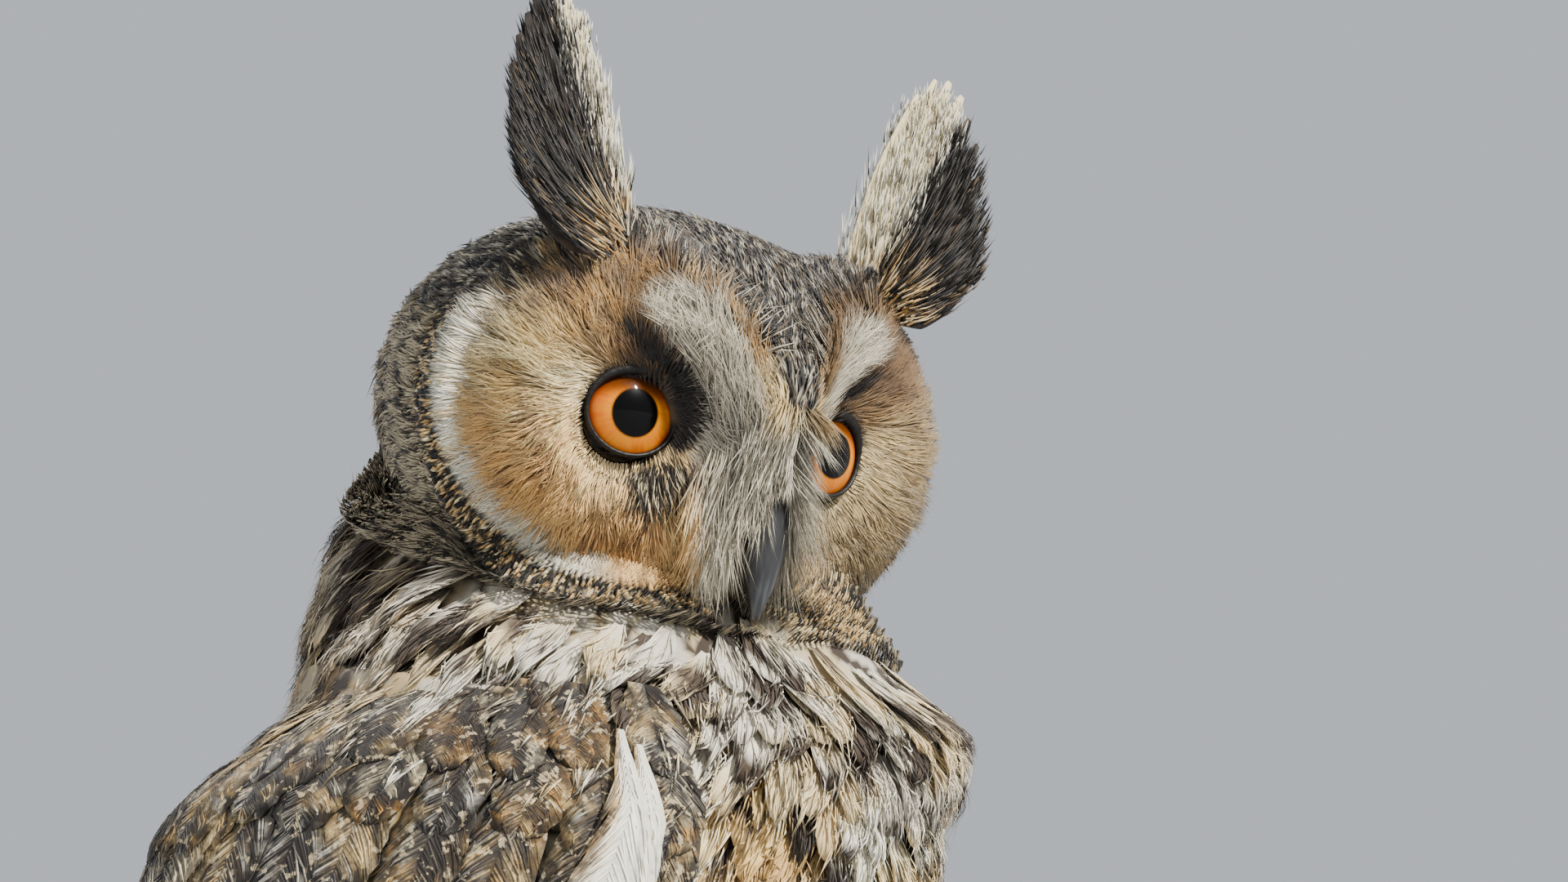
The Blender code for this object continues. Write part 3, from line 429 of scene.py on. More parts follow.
def vanes(top, thickness, out):
    """Closed thin vanes from their upper faces, (count, rows, columns, 3), and the outward normals."""
    count, rows, columns = top.shape[:3]
    under = top - out * thickness
    points = np.concatenate([top.reshape(count, -1, 3), under.reshape(count, -1, 3)], 1)
    grid = grid_triangles(rows, columns)
    size = rows * columns
    index = np.arange(size).reshape(rows, columns)
    edge = np.concatenate([index[0], index[1:, -1], index[-1, -2::-1], index[-2:0:-1, 0]])
    after = np.roll(edge, -1)
    wall = np.concatenate([
        np.stack([after, edge, edge + size], -1),
        np.stack([after, edge + size, after + size], -1),
    ])
    template = np.concatenate([grid, grid[:, ::-1] + size, wall])
    faces = template[None] + np.arange(count)[:, None, None] * size * 2
    return points, faces.reshape(-1, 3)


def swept(path, radii, sides, across, keel=0.0, flatten=1.0):
    """A closed tube along a path: path + radius * (cos a * across + sin a * other), with a keel where sin a is 1."""
    run = unit(np.gradient(path, axis=0, edge_order=2))
    across = unit(across - (run @ across)[:, None] * run)
    other = np.cross(across, run)
    turn = np.arange(sides) * 2 * math.pi / sides
    lift = flatten * np.sin(turn) * (1 + keel * np.clip(np.sin(turn), 0, 1) ** 3)
    ring = np.cos(turn)[None, :, None] * across[:, None] + lift[None, :, None] * other[:, None]
    points = (path[:, None] + radii[:, None, None] * ring).reshape(-1, 3)
    count = len(path)
    points = np.concatenate([points, path[:1], path[-1:]])
    s = np.arange(sides)
    after = (s + 1) % sides
    last = (count - 1) * sides
    caps = np.concatenate([
        np.stack([np.full(sides, count * sides), after, s], -1),
        np.stack([np.full(sides, count * sides + 1), last + s, last + after], -1),
    ])
    return points, np.concatenate([grid_triangles(count, sides, wrap=True), caps])


def outward(points, triangles):
    """The same triangles, turned so that the closed surface has a positive volume."""
    a, b, c = (points[triangles[:, i]] for i in range(3))
    volume = (a * np.cross(b, c)).sum()
    return triangles if volume > 0 else triangles[:, ::-1]


def smooth_path(points, radii, count):
    """The spline through a few points and radii, at evenly spaced places."""
    knots = np.concatenate([[0.0], np.cumsum(np.linalg.norm(np.diff(points, axis=0), axis=1))])
    curve = natural_spline(knots, np.concatenate([points, np.asarray(radii)[:, None]], 1))
    fine = curve(np.linspace(0, knots[-1], count))
    return fine[:, :3], np.maximum(fine[:, 3], 0.1 * MM)


# Materials

def new_material(name, roughness, specular=0.4, sheen=0.0, coat=0.0, metallic=0.0):
    made = bpy.data.materials.new(name)
    made.use_nodes = True
    shader = made.node_tree.nodes["Principled BSDF"]
    shader.inputs["Roughness"].default_value = roughness
    shader.inputs["Specular IOR Level"].default_value = specular
    shader.inputs["Sheen Weight"].default_value = sheen
    shader.inputs["Sheen Roughness"].default_value = 0.5
    shader.inputs["Coat Weight"].default_value = coat
    shader.inputs["Coat Roughness"].default_value = 0.03
    shader.inputs["Metallic"].default_value = metallic
    return made, made.node_tree.nodes, made.node_tree.links, shader


def mottled(nodes, links, shader, source, scale, strength):
    """Multiplies a colour by a fine noise on Object coordinates: 1 plus or minus strength."""
    place = nodes.new("ShaderNodeTexCoord")
    grain = nodes.new("ShaderNodeTexNoise")
    grain.inputs["Scale"].default_value = scale
    grain.inputs["Detail"].default_value = 4
    links.new(place.outputs["Object"], grain.inputs["Vector"])
    spread = nodes.new("ShaderNodeMapRange")
    spread.inputs["From Min"].default_value = 0.25
    spread.inputs["From Max"].default_value = 0.75
    spread.inputs["To Min"].default_value = 1 - strength
    spread.inputs["To Max"].default_value = 1 + strength
    links.new(grain.outputs["Fac"], spread.inputs["Value"])
    scaled = nodes.new("ShaderNodeVectorMath")
    scaled.operation = "SCALE"
    links.new(source, scaled.inputs[0])
    links.new(spread.outputs["Result"], scaled.inputs["Scale"])
    links.new(scaled.outputs["Vector"], shader.inputs["Base Color"])
    return grain


def plumage_material(name, barbs=False):
    """Feather: the marking of each point, mottled, and on vanes a fine bump of slanting barbs."""
    made, nodes, links, shader = new_material(name, 0.72, 0.25, 0.12)
    marking = nodes.new("ShaderNodeAttribute")
    marking.attribute_name = "marking"
    mottled(nodes, links, shader, marking.outputs["Color"], 900 if barbs else 500, 0.16 if barbs else 0.12)
    if barbs:
        vane = nodes.new("ShaderNodeAttribute")
        vane.attribute_name = "vane"
        wave = nodes.new("ShaderNodeTexWave")
        wave.inputs["Scale"].default_value = 0.55
        wave.inputs["Distortion"].default_value = 1.2
        wave.inputs["Detail"].default_value = 2
        wave.bands_direction = "X"
        links.new(vane.outputs["Vector"], wave.inputs["Vector"])
        bump = nodes.new("ShaderNodeBump")
        bump.inputs["Strength"].default_value = 0.35
        bump.inputs["Distance"].default_value = 0.0003
        links.new(wave.outputs["Fac"], bump.inputs["Height"])
        links.new(bump.outputs["Normal"], shader.inputs["Normal"])
    return made


def speckled(made):
    """Fine dark and pale flecks over a feather's own colour, on Object coordinates."""
    nodes, links = made.node_tree.nodes, made.node_tree.links
    shader = nodes["Principled BSDF"]
    source = shader.inputs["Base Color"].links[0].from_socket
    place = nodes.new("ShaderNodeTexCoord")
    grey = nodes.new("ShaderNodeRGBToBW")
    links.new(source, grey.inputs["Color"])
    spared = nodes.new("ShaderNodeMapRange")
    spared.inputs["From Min"].default_value = 0.55
    spared.inputs["From Max"].default_value = 0.72
    spared.inputs["To Min"].default_value = 1
    spared.inputs["To Max"].default_value = 0
    links.new(grey.outputs["Val"], spared.inputs["Value"])
    for scale, low, high, share, colour in (
        (95, 0.46, 0.53, 0.55, (0.016, 0.011, 0.008, 1)), (420, 0.51, 0.57, 0.6, (0.014, 0.010, 0.007, 1)),
        (600, 0.59, 0.63, 0.7, (0.62, 0.50, 0.30, 1)), (1400, 0.52, 0.60, 0.4, (0.012, 0.010, 0.008, 1)),
    ):
        grain = nodes.new("ShaderNodeTexNoise")
        grain.inputs["Scale"].default_value = scale
        grain.inputs["Detail"].default_value = 3
        links.new(place.outputs["Object"], grain.inputs["Vector"])
        mask = nodes.new("ShaderNodeMapRange")
        mask.inputs["From Min"].default_value = low
        mask.inputs["From Max"].default_value = high
        mask.inputs["To Max"].default_value = share
        links.new(grain.outputs["Fac"], mask.inputs["Value"])
        kept = nodes.new("ShaderNodeMath")
        kept.operation = "MULTIPLY"
        links.new(mask.outputs["Result"], kept.inputs[0])
        links.new(spared.outputs["Result"], kept.inputs[1])
        over = nodes.new("ShaderNodeMix")
        over.data_type = "RGBA"
        over.inputs["B"].default_value = colour
        links.new(kept.outputs["Value"], over.inputs["Factor"])
        links.new(source, over.inputs["A"])
        source = over.outputs["Result"]
    links.new(source, shader.inputs["Base Color"])
    return made


def marked_material(name, roughness, specular=0.4, coat=0.0, bump_scale=0.0, bump=0.2):
    """A colour for each point, with an even gloss and an optional fine bump."""
    made, nodes, links, shader = new_material(name, roughness, specular, 0.0, coat)
    marking = nodes.new("ShaderNodeAttribute")
    marking.attribute_name = "marking"
    grain = mottled(nodes, links, shader, marking.outputs["Color"], bump_scale or 300, 0.08)
    if bump_scale:
        relief = nodes.new("ShaderNodeBump")
        relief.inputs["Strength"].default_value = bump
        relief.inputs["Distance"].default_value = 0.0004
        links.new(grain.outputs["Fac"], relief.inputs["Height"])
        links.new(relief.outputs["Normal"], shader.inputs["Normal"])
    return made


# Markings

def mix(a, b, w):
    w = np.asarray(w)[..., None]
    return np.asarray(a) + (np.asarray(b) - np.asarray(a)) * w


def palette():
    colours = bpy.context.scene.owl_colours
    return {name: np.array(getattr(colours, name)) for name in ("dark", "brown", "ochre", "buff", "cream", "white")}


def head_marking(place, seed=0, lot=None):
    """Colour of the head at a place in its own axes, in millimetres.

    Each rule is a soft mask: distance from the eye, angle round it, distance to the line of the brow, and noise.
    lot is a random number for each feather, from 0 to 1.
    """
    c = palette()
    x, y, z = np.abs(place[..., 0]), place[..., 1], place[..., 2]
    lot = np.full(x.shape, 0.5) if lot is None else lot
    dx, dz = x - 19.9, z - 0.8
    ahead = smoothstep((-y - 8) / 6)
    from_eye = np.linalg.norm(np.stack([x, y, z], -1) - DISC_CENTRE / MM, axis=-1)
    radians = np.arctan2(z - 1.0, x - 21.0)
    turn = np.degrees(radians)
    speck, fine, patch = noise(place, 5.0, 11 + seed), noise(place, 2.2, 12 + seed), noise(place, 15.0, 13 + seed)
    ray = noise(np.stack([radians * 24, from_eye * 0.22, np.sign(place[..., 0]) * 9], -1), 3.0, 17)
    colour = mix(c["buff"], c["cream"], np.clip(0.45 + 0.4 * patch + 0.25 * speck, 0, 1))
    low = smoothstep((-z - 3) / 9) * smoothstep((from_eye - 9) / 8)
    colour = mix(colour, c["ochre"], 0.45 * low * np.clip(0.4 + 0.6 * speck, 0, 1))
    upper = smoothstep((turn - 18) / 45) * smoothstep((150 - turn) / 30)
    colour = mix(colour, c["ochre"], 0.8 * upper)
    colour = mix(colour, c["brown"], upper * smoothstep((from_eye - 8) / 10) * np.clip(0.35 + 0.5 * speck, 0, 1))
    colour = mix(colour, c["brown"], (0.12 + 0.4 * upper) * smoothstep((ray - 0.05) / 0.5))
    colour = mix(colour, c["cream"], 0.3 * smoothstep((-ray - 0.25) / 0.4))
    inner = bell(from_eye - 13.5, 5.5) * smoothstep((60 - turn) / 40) * smoothstep((turn + 130) / 40)
    colour = mix(colour, c["cream"], 0.6 * inner)
    mottle = smoothstep((fine + 0.7 * speck - 0.55) / 0.3) * smoothstep((from_eye - 15) / 5)
    colour = mix(colour, mix(c["brown"], c["dark"], 0.4), 0.55 * mottle)
    far = place[..., 0] > 0
    # Painted shade: the far side of the disc darker and browner, most over its upper part
    colour = mix(colour, 0.8 * mix(c["ochre"], c["brown"], 0.6), far * (0.42 + 0.42 * upper) * smoothstep((from_eye - 9) / 8))
    # Painted sunlight: a warmer tint over the near side's lower disc
    painted_sunlight = smoothstep((20 - turn) / 50) * smoothstep((from_eye - 9) / 6) * ~far
    colour = np.minimum(colour * (1 + painted_sunlight[..., None] * np.array((0.06, -0.04, -0.14))), 1.0)
    edge, wide = rim_edge(turn)
    edge = edge - 5.0 * far * bell(turn + 80, 34)
    wide = wide * (1 - 0.7 * far)
    crescent = smoothstep((from_eye - edge) / 1.3) * smoothstep((48 - turn) / 20) * smoothstep((turn + 106) / 14)
    broken = 1 - 0.4 * smoothstep((noise(place, 3.0, 18) - 0.35) / 0.25)
    colour = mix(colour, mix(c["white"], c["cream"], 0.4 * (lot > 0.6)), 0.95 * crescent * broken * (1 - 0.5 * far))
    top_rim = smoothstep((from_eye - 27) / 2.5) * smoothstep((turn - 30) / 20)
    beads = noise(place, 2.6, 14) > 0.2
    spot = np.where(beads[..., None], mix(c["ochre"], c["cream"], lot), c["dark"])
    colour = mix(colour, spot, 0.85 * top_rim)
    band = smoothstep((from_eye - edge - wide) / 0.8)
    pale = noise(place, 1.9, 19) + 0.5 * (lot - 0.5) > 0.24
    colour = mix(colour, np.where(pale[..., None], mix(c["cream"], c["ochre"], 0.8 * lot), 0.8 * c["dark"]), band)
    line = ((4.4, 14.4), (-0.4, 12.0), (-5.0, 9.3), (-8.0, 5.0), (-9.2, 0.4), (-8.3, -3.2))
    corner = np.min([segment_distance(dx, dz, line[i], line[i + 1]) for i in range(5)], 0)
    corner = smoothstep((np.interp(dz, (-2, 4, 8, 11, 14), (2.2, 2.8, 2.5, 2.1, 1.4)) - corner) / 1.2)
    upper_lid = smoothstep((9.8 - np.hypot(dx, dz)) / 1.8) * smoothstep((dz - 1) / 4)
    lash = smoothstep((7.4 + 0.8 * smoothstep((dx - 3) / 4) - np.hypot(dx, dz)) / 0.7)
    black = np.maximum(np.maximum(0.97 * corner, 0.62 * upper_lid), 0.95 * lash) * ahead
    shade = bell(turn - 102, 46) * bell(from_eye - 14.5, 7.5)
    colour = mix(colour, mix(c["brown"], c["dark"], 0.4), 0.85 * shade)
    under = np.maximum(bell(np.hypot(dx + 5.0, dz + 12.6), 4.6), 0.8 * bell(np.hypot(dx + 8.6, dz + 9.6), 3.2))
    under = smoothstep(under * 2.4 - 0.5 + 0.5 * fine) * smoothstep((-y - 12) / 6)
    colour = mix(colour, mix(c["dark"], c["cream"], 0.7 * (lot > 0.68)), 0.95 * under)
    brow = brow_mask(x, z) * smoothstep((-y - 14) / 6)
    grey = mix(c["white"], mix(c["white"], c["dark"], 0.45), 0.36 + 0.5 * np.clip(lot + 0.4 * fine - 0.2, 0, 1))
    grey = mix(grey, c["buff"], 0.12)
    colour = mix(colour, grey, 0.96 * brow * (1 - 0.6 * (lot > 0.95)))
    lore = smoothstep((np.interp(z, (-21, -14, -5), (7.0, 10.0, 10.8)) - x) / 2.0) * smoothstep((5 - z) / 4)
    lore = lore * smoothstep((-y - 20) / 6) * smoothstep((z + 27) / 4)
    colour = mix(colour, grey, 0.95 * lore * (1 - 0.5 * under))
    above = smoothstep((from_eye - 26) / 3) * smoothstep((z - 10 - 0.6 * x) / 3) * smoothstep((-y + 4) / 6)
    strip = smoothstep((np.interp(z, (2, 9, 18, 23), (2.2, 3.6, 6.2, 9.0)) - x) / 1.4) * smoothstep((z - 3) / 4)
    behind = smoothstep((z - 4 + 6 * patch + 8 * (lot - 0.5)) / 18) * smoothstep((y + 18) / 6)
    crown = np.maximum(np.maximum(above, strip * smoothstep((-y + 2) / 6)), behind)
    cell = noise(place, 1.9, 15) + 0.35 * (lot - 0.5)
    pepper = np.where((cell > 0.48)[..., None], mix(c["white"], c["buff"], 0.4 * lot), c["dark"])
    pepper = 0.74 * np.where((np.abs(cell - 0.28) < 0.2)[..., None], mix(c["brown"], c["buff"], 0.2), pepper)
    colour = mix(colour, pepper, crown * (1 - brow))
    colour = mix(colour, c["dark"], black)
    rear = np.maximum(smoothstep((from_eye - 40) / 3), smoothstep((from_eye - edge - wide - 4.6) / 1.6))
    streaks = 0.8 * noise(place * np.array((1.0, 0.5, 0.5)), 1.9, 16) + 1.3 * (lot - 0.5)
    nape = mix(mix(c["white"], c["buff"], 0.45), c["brown"], 0.15 + 0.5 * smoothstep((streaks + 0.1) / 0.4))
    throat = smoothstep((-z - 15) / 6) * smoothstep((-y - 2) / 8)
    nape = mix(nape, c["dark"], 0.85 * smoothstep((streaks - 0.3 + 0.75 * throat) / 0.2))
    return mix(colour, 0.86 * nape, rear * (1 - crown))


def rim_edge(turn):
    """Where the pale crescent round the disc begins, from the disc's centre, and its width, by the angle round it."""
    edge = np.interp(turn, (-110, -84, -64, -43, -25, -3, 16, 40), (28.4, 25.2, 25.4, 27.0, 28.4, 29.8, 31.6, 31.6))
    return edge, np.interp(turn, (-110, -97, -86, -3, 16, 40), (0.6, 2.0, 4.2, 4.2, 3.2, 1.5))


def brow_mask(x, z):
    """1 within the pale brow, from the bridge up over the eye, for places in millimetres."""
    line = ((4.8, -1.0), (8.4, 9.5), (12.6, 17.0), (20.5, 19.3))
    gap = np.min([segment_distance(x, z, line[i], line[i + 1]) for i in range(3)], 0)
    return smoothstep((np.interp(x, (4, 8.5, 13, 18, 22), (2.6, 3.6, 5.0, 4.6, 3.2)) + 0.5 - gap) / 1.6)


def body_marking(u, angle, lot, along, across):
    """Colour of a body feather: a dark streak down its middle, pale edges, bars low on the belly.

    along runs from 0 at its root to 1 at its tip, and across from -1 to 1.
    """
    c = palette()
    height = height_at(u)
    place = np.stack(np.broadcast_arrays(u / MM, np.degrees(angle) * 0.9, 0 * u), -1)
    patch = noise(place, 30.0, 21)
    back = smoothstep((np.cos(angle) + 0.15) / 0.5)
    neck = smoothstep((height - 158) / 14)
    low = smoothstep((95 - height) / 60) * (1 - back)
    flow = np.degrees(angle) * 0.9 + 0.24 * np.sign(angle) * np.abs(np.sin(angle)) ** 0.5 * u / MM
    flow = flow + 2.5 * (lot - 0.5)
    field = noise(np.stack(np.broadcast_arrays(flow, 0.30 * (u / MM + 20 * along), 0 * u), -1), 5.6, 23)
    tint = noise(np.stack(np.broadcast_arrays(flow, 0.30 * (u / MM + 20 * along), 0 * u), -1), 9.0, 24)
    ground = mix(c["cream"], c["buff"], smoothstep((patch + tint) / 0.6) * (1 - 0.5 * neck))
    ground = mix(ground, c["white"], 0.9 * smoothstep((0.8 * lot + 0.5 * tint + 0.25 * neck - 0.42) / 0.3))
    ground = mix(ground, c["ochre"], 0.5 * smoothstep((-tint - 0.1) / 0.4) * (1 - 0.7 * neck))
    ground = mix(ground, mix(c["brown"], c["white"], 0.4), 0.22 * neck)
    ground = mix(ground, c["cream"], 0.5 * low)
    ground = mix(ground, mix(c["brown"], c["ochre"], 0.4), 0.6 * back * (1 - 0.7 * neck))
    side = 0.2 * np.sin(lot * 91)
    spindle = smoothstep((0.62 - np.abs(across - side)) / 0.5) * np.interp(along, (0.2, 0.5, 0.85, 1.0), (0.3, 1, 1, 0.2))
    streak = smoothstep((1.0 * field + 0.45 * spindle - 0.27 + 0.03 * neck + 0.1 * back) / 0.30)
    colour = mix(ground, mix(c["dark"], c["brown"], 0.2 + 0.2 * neck), 0.92 * streak)
    bars = smoothstep((np.cos(along * 17 + lot * 6) - 0.5) / 0.3) * low
    return np.minimum(1.04 * mix(colour, c["brown"], 0.45 * bars), 1.0)


def vane_marking(kind, lot, along, across, millimetres, spot=None):
    """Colour of a wing or tail feather. Bars follow its length in millimetres, mottling follows noise.

    spot is the place on the wing, so that the clouds of the coverts run on from one feather to the next.
    """
    c = palette()
    place = np.stack(np.broadcast_arrays(millimetres, across * 7.0, lot * 400), -1)
    spot = place if spot is None else spot
    coarse, fine = noise(place, 8.0, 31), noise(place, 2.6, 32)
    edge = np.abs(across)
    if kind == "flight":
        ground = mix(c["ochre"], c["buff"], smoothstep(edge * 1.2 - 0.1))
        ground = mix(ground, mix(c["brown"], c["buff"], 0.45), smoothstep((along - 0.35) / 0.5))
        bar = smoothstep((np.cos(millimetres * 2 * math.pi / 15.5 + lot * 1.2 + 0.5 * across) - 0.1) / 0.35)
        colour = mix(ground, mix(c["dark"], c["brown"], 0.3), 0.88 * bar)
        return mix(colour, mix(c["dark"], c["brown"], 0.5), 0.45 * smoothstep((fine - 0.1) / 0.4) * smoothstep((along - 0.3) / 0.4))
    if kind == "tail":
        ground = mix(c["buff"], c["ochre"], 0.4 + 0.3 * coarse)
        bar = smoothstep((np.cos(millimetres * 2 * math.pi / 13.0 + 0.5 * across) - 0.45) / 0.3)
        colour = mix(ground, mix(c["dark"], c["brown"], 0.4), 0.88 * bar)
        return mix(colour, c["brown"], 0.4 * smoothstep((fine - 0.2) / 0.4))
    if kind == "white":
        rim = smoothstep((-across - 0.45) / 0.3) * smoothstep((0.75 - along) / 0.2)
        return mix(mix(c["white"], c["cream"], 0.2 * lot), c["ochre"], 0.7 * rim)
    cloud = 0.7 * noise(spot, 14.0, 34) + 0.7 * noise(spot, 6.0, 35) + 0.15 * coarse
    ground = mix(c["dark"], c["brown"], 0.32 * smoothstep((noise(spot, 7.0, 36) + 0.2) / 0.8))
    pale = smoothstep((cloud + 0.12 * edge - 0.10) / 0.26)
    colour = mix(ground, mix(c["ochre"], c["buff"], np.clip(lot + 0.5 * fine, 0, 1)), 0.9 * pale)
    dots = noise(spot, 2.4, 33)
    colour = mix(colour, c["dark"], 0.6 * pale * smoothstep((dots - 0.15) / 0.2))
    flecks = smoothstep((-dots - 0.42 + 0.2 * smoothstep((noise(spot, 9.0, 38) - 0.1) / 0.4)) / 0.15) * (1 - 0.6 * pale)
    colour = mix(colour, mix(c["cream"], c["white"], lot), 0.75 * flecks)
    colour = mix(colour, c["dark"], 0.35 * smoothstep((0.16 - edge) / 0.12))
    if kind == "spotted":
        mark = bell(along - 0.74, 0.16) * smoothstep((across * np.where(lot > 0.5, 1, -1) - 0.25) / 0.3)
        colour = mix(colour, mix(c["white"], c["buff"], 0.5 * lot), smoothstep(mark * 2.2 - 0.7) * (0.4 + 0.6 * (lot > 0.35)))
    return colour


# Properties

class OwlColours(bpy.types.PropertyGroup):
    dark: bpy.props.FloatVectorProperty(
        name="Blackish brown", description="Streaks, ruff and ear tufts", subtype="COLOR_GAMMA",
        default=(0.10, 0.082, 0.07), min=0, max=1)
    brown: bpy.props.FloatVectorProperty(
        name="Brown", description="Mottling of the back and wings", subtype="COLOR_GAMMA",
        default=(0.38, 0.29, 0.21), min=0, max=1)
    ochre: bpy.props.FloatVectorProperty(
        name="Ochre", description="Facial disc and feather bases", subtype="COLOR_GAMMA",
        default=(0.78, 0.57, 0.28), min=0, max=1)
    buff: bpy.props.FloatVectorProperty(
        name="Buff", description="Ground colour of the underparts", subtype="COLOR_GAMMA",
        default=(0.90, 0.77, 0.50), min=0, max=1)
    cream: bpy.props.FloatVectorProperty(
        name="Cream", description="Pale feather edges", subtype="COLOR_GAMMA",
        default=(0.97, 0.91, 0.73), min=0, max=1)
    white: bpy.props.FloatVectorProperty(
        name="Greyish white", description="Brows, bristles and the edge of the disc", subtype="COLOR_GAMMA",
        default=(0.95, 0.94, 0.88), min=0, max=1)
    iris: bpy.props.FloatVectorProperty(
        name="Iris", description="Orange of the eye", subtype="COLOR_GAMMA",
        default=(0.84, 0.515, 0.0), min=0, max=1)


class OwlPlumage(bpy.types.PropertyGroup):
    disc_count: bpy.props.IntProperty(
        name="Disc strands", description="Strands on the whole head at the density of the facial disc",
        default=104000, min=1000)
    disc_strand: bpy.props.FloatProperty(
        name="Disc strand half width", description="Half the width of a strand of the facial disc",
        default=0.2 * MM, unit="LENGTH", precision=6)
    strand_length: bpy.props.FloatProperty(
        name="Disc strand length", description="Length of a strand of the facial disc",
        default=8.5 * MM, unit="LENGTH")
    body_depth: bpy.props.FloatProperty(
        name="Coat depth", description="How far the feathers' roots lie inside the body's outline",
        default=4.5 * MM, unit="LENGTH")
    body_spacing: bpy.props.FloatProperty(
        name="Feather spacing", description="Distance between rows of body feathers",
        default=4.6 * MM, unit="LENGTH")


class OwlStage(bpy.types.PropertyGroup):
    azimuth: bpy.props.FloatProperty(
        name="Camera azimuth", description="Side that the camera looks from", subtype="ANGLE",
        default=math.radians(-62))
    elevation: bpy.props.FloatProperty(
        name="Camera elevation", description="Height of the view, negative looks up", subtype="ANGLE",
        default=math.radians(-12.5))
    distance: bpy.props.FloatProperty(
        name="Camera distance", description="From the camera to the head", default=1.15, unit="LENGTH")
    pixel: bpy.props.FloatProperty(
        name="Size of a pixel", description="Width on the bird of one pixel of a 1920 pixel wide frame",
        default=0.1345 * MM, precision=6, unit="LENGTH")


# Skin

def leg_path(side):
    """The quadratic curve from the belly to the ankle, and its radii."""
    ankle = np.array((side * FOOT_X, PERCH_Y, PERCH_TOP + 9.3 * MM))
    top = np.array((side * 19 * MM, PERCH_Y + 13 * MM, PERCH_TOP + 52 * MM))
    middle = np.array((side * 20.5 * MM, PERCH_Y + 4 * MM, PERCH_TOP + 26 * MM))
    share = np.linspace(0, 1, 15)[:, None]
    path = (1 - share) ** 2 * top + 2 * share * (1 - share) * middle + share**2 * ankle
    return path, np.interp(share[:, 0], (0, 0.35, 0.75, 1), (17 * MM, 14.5 * MM, 11 * MM, 8.6 * MM))


def round_perch(x, angle, over):
    return np.stack(np.broadcast_arrays(
        x, PERCH_Y + over * np.sin(angle), PERCH_TOP - PERCH_RADIUS + over * np.cos(angle)), -1)


def toe_path(side, toe, count=15):
    _, start_x, end_x, sweep = toe
    t = np.linspace(0, 1, count)
    x = side * (FOOT_X + (start_x + (end_x - start_x) * t) * MM)
    angle = math.radians(sweep) * (0.08 + 0.92 * t)
    path = round_perch(x, angle, PERCH_RADIUS + TOE_RADIUS + 1.2 * (1 - t) * MM)
    return path, TOE_RADIUS * np.interp(t, (0, 0.2, 0.5, 0.8, 1), (0.95, 1.05, 0.99, 0.95, 0.74))


def skin_shells():
    """Closed shells that the skin is made of: head, body, wings, legs and toes, inside the coat."""
    shells = []
    polar = np.linspace(0.02, math.pi - 0.02, 60)
    turn = np.arange(90) * 2 * math.pi / 90
    rings = head_surface(polar[:, None], turn[None], -2.6 * MM)
    shells.append(capped(from_head(rings)))
    u = np.linspace(station(206), station(16), 70)
    shells.append(capped(body_point(u[:, None], turn[None], -5.5 * MM)))
    for _, side in BOTH_SIDES:
        rows = np.linspace(station(167), station(6), 50)
        share = (1 - np.cos(np.linspace(0, math.pi, 24))) / 2
        first, last = edge_angle(WING_TRAILING, rows)[:, None], edge_angle(WING_LEADING, rows)[:, None]
        angle = side * (first + (last - first) * (0.04 + 0.92 * share))
        height = np.maximum(wing_thickness(rows[:, None], share[None]) - 2.6 * MM, 0.2 * MM)
        outer, inner = wing_point(rows[:, None], angle, height), wing_point(rows[:, None], angle, -4 * MM)
        ring = np.concatenate([outer, inner[:, ::-1]], 1)
        shells.append(capped(ring))
        path, radii = leg_path(side)
        shells.append(swept(path, radii - 2.4 * MM, 24, np.array((1.0, 0, 0))))
        for toe in TOES:
            path, radii = toe_path(side, toe)
            shells.append(swept(path, radii - 1.0 * MM, 16, np.array((1.0, 0, 0))))
        ball_u, ball_v = np.linspace(0.05, math.pi - 0.05, 14), np.arange(20) * 2 * math.pi / 20
        ball = np.stack([
            np.sin(ball_u)[:, None] * np.cos(ball_v), np.sin(ball_u)[:, None] * np.sin(ball_v),
            np.cos(ball_u)[:, None] + 0 * ball_v], -1) * np.array((7.6, 7.2, 6.2)) * MM
        shells.append(capped(ball + np.array((side * FOOT_X, PERCH_Y, PERCH_TOP + 6 * MM))))
    return shells


def capped(rings):
    """A closed tube of rings, (rows, columns, 3), with a fan to the middle of each end ring."""
    rows, columns = rings.shape[:2]
    points = np.concatenate([rings.reshape(-1, 3), rings[0].mean(0)[None], rings[-1].mean(0)[None]])
    s = np.arange(columns)
    after = (s + 1) % columns
    last = (rows - 1) * columns
    caps = np.concatenate([
        np.stack([np.full(columns, rows * columns), after, s], -1),
        np.stack([np.full(columns, rows * columns + 1), last + s, last + after], -1),
    ])
    return points, np.concatenate([grid_triangles(rows, columns, wrap=True), caps])


def body_place(points):
    """Distance down the spine and angle round it of any point, from the nearest station."""
    u = np.linspace(station(214), station(-90), 240)
    centre, back = spine_frame(u)
    gap = np.abs(np.einsum("nk,mk->nm", points, np.cross((1.0, 0, 0), back)) - (centre * np.cross((1.0, 0, 0), back)).sum(-1))
    nearest = gap.argmin(1)
    local = points - centre[nearest]
    return u[nearest], np.arctan2(local[:, 0], (local * back[nearest]).sum(-1))


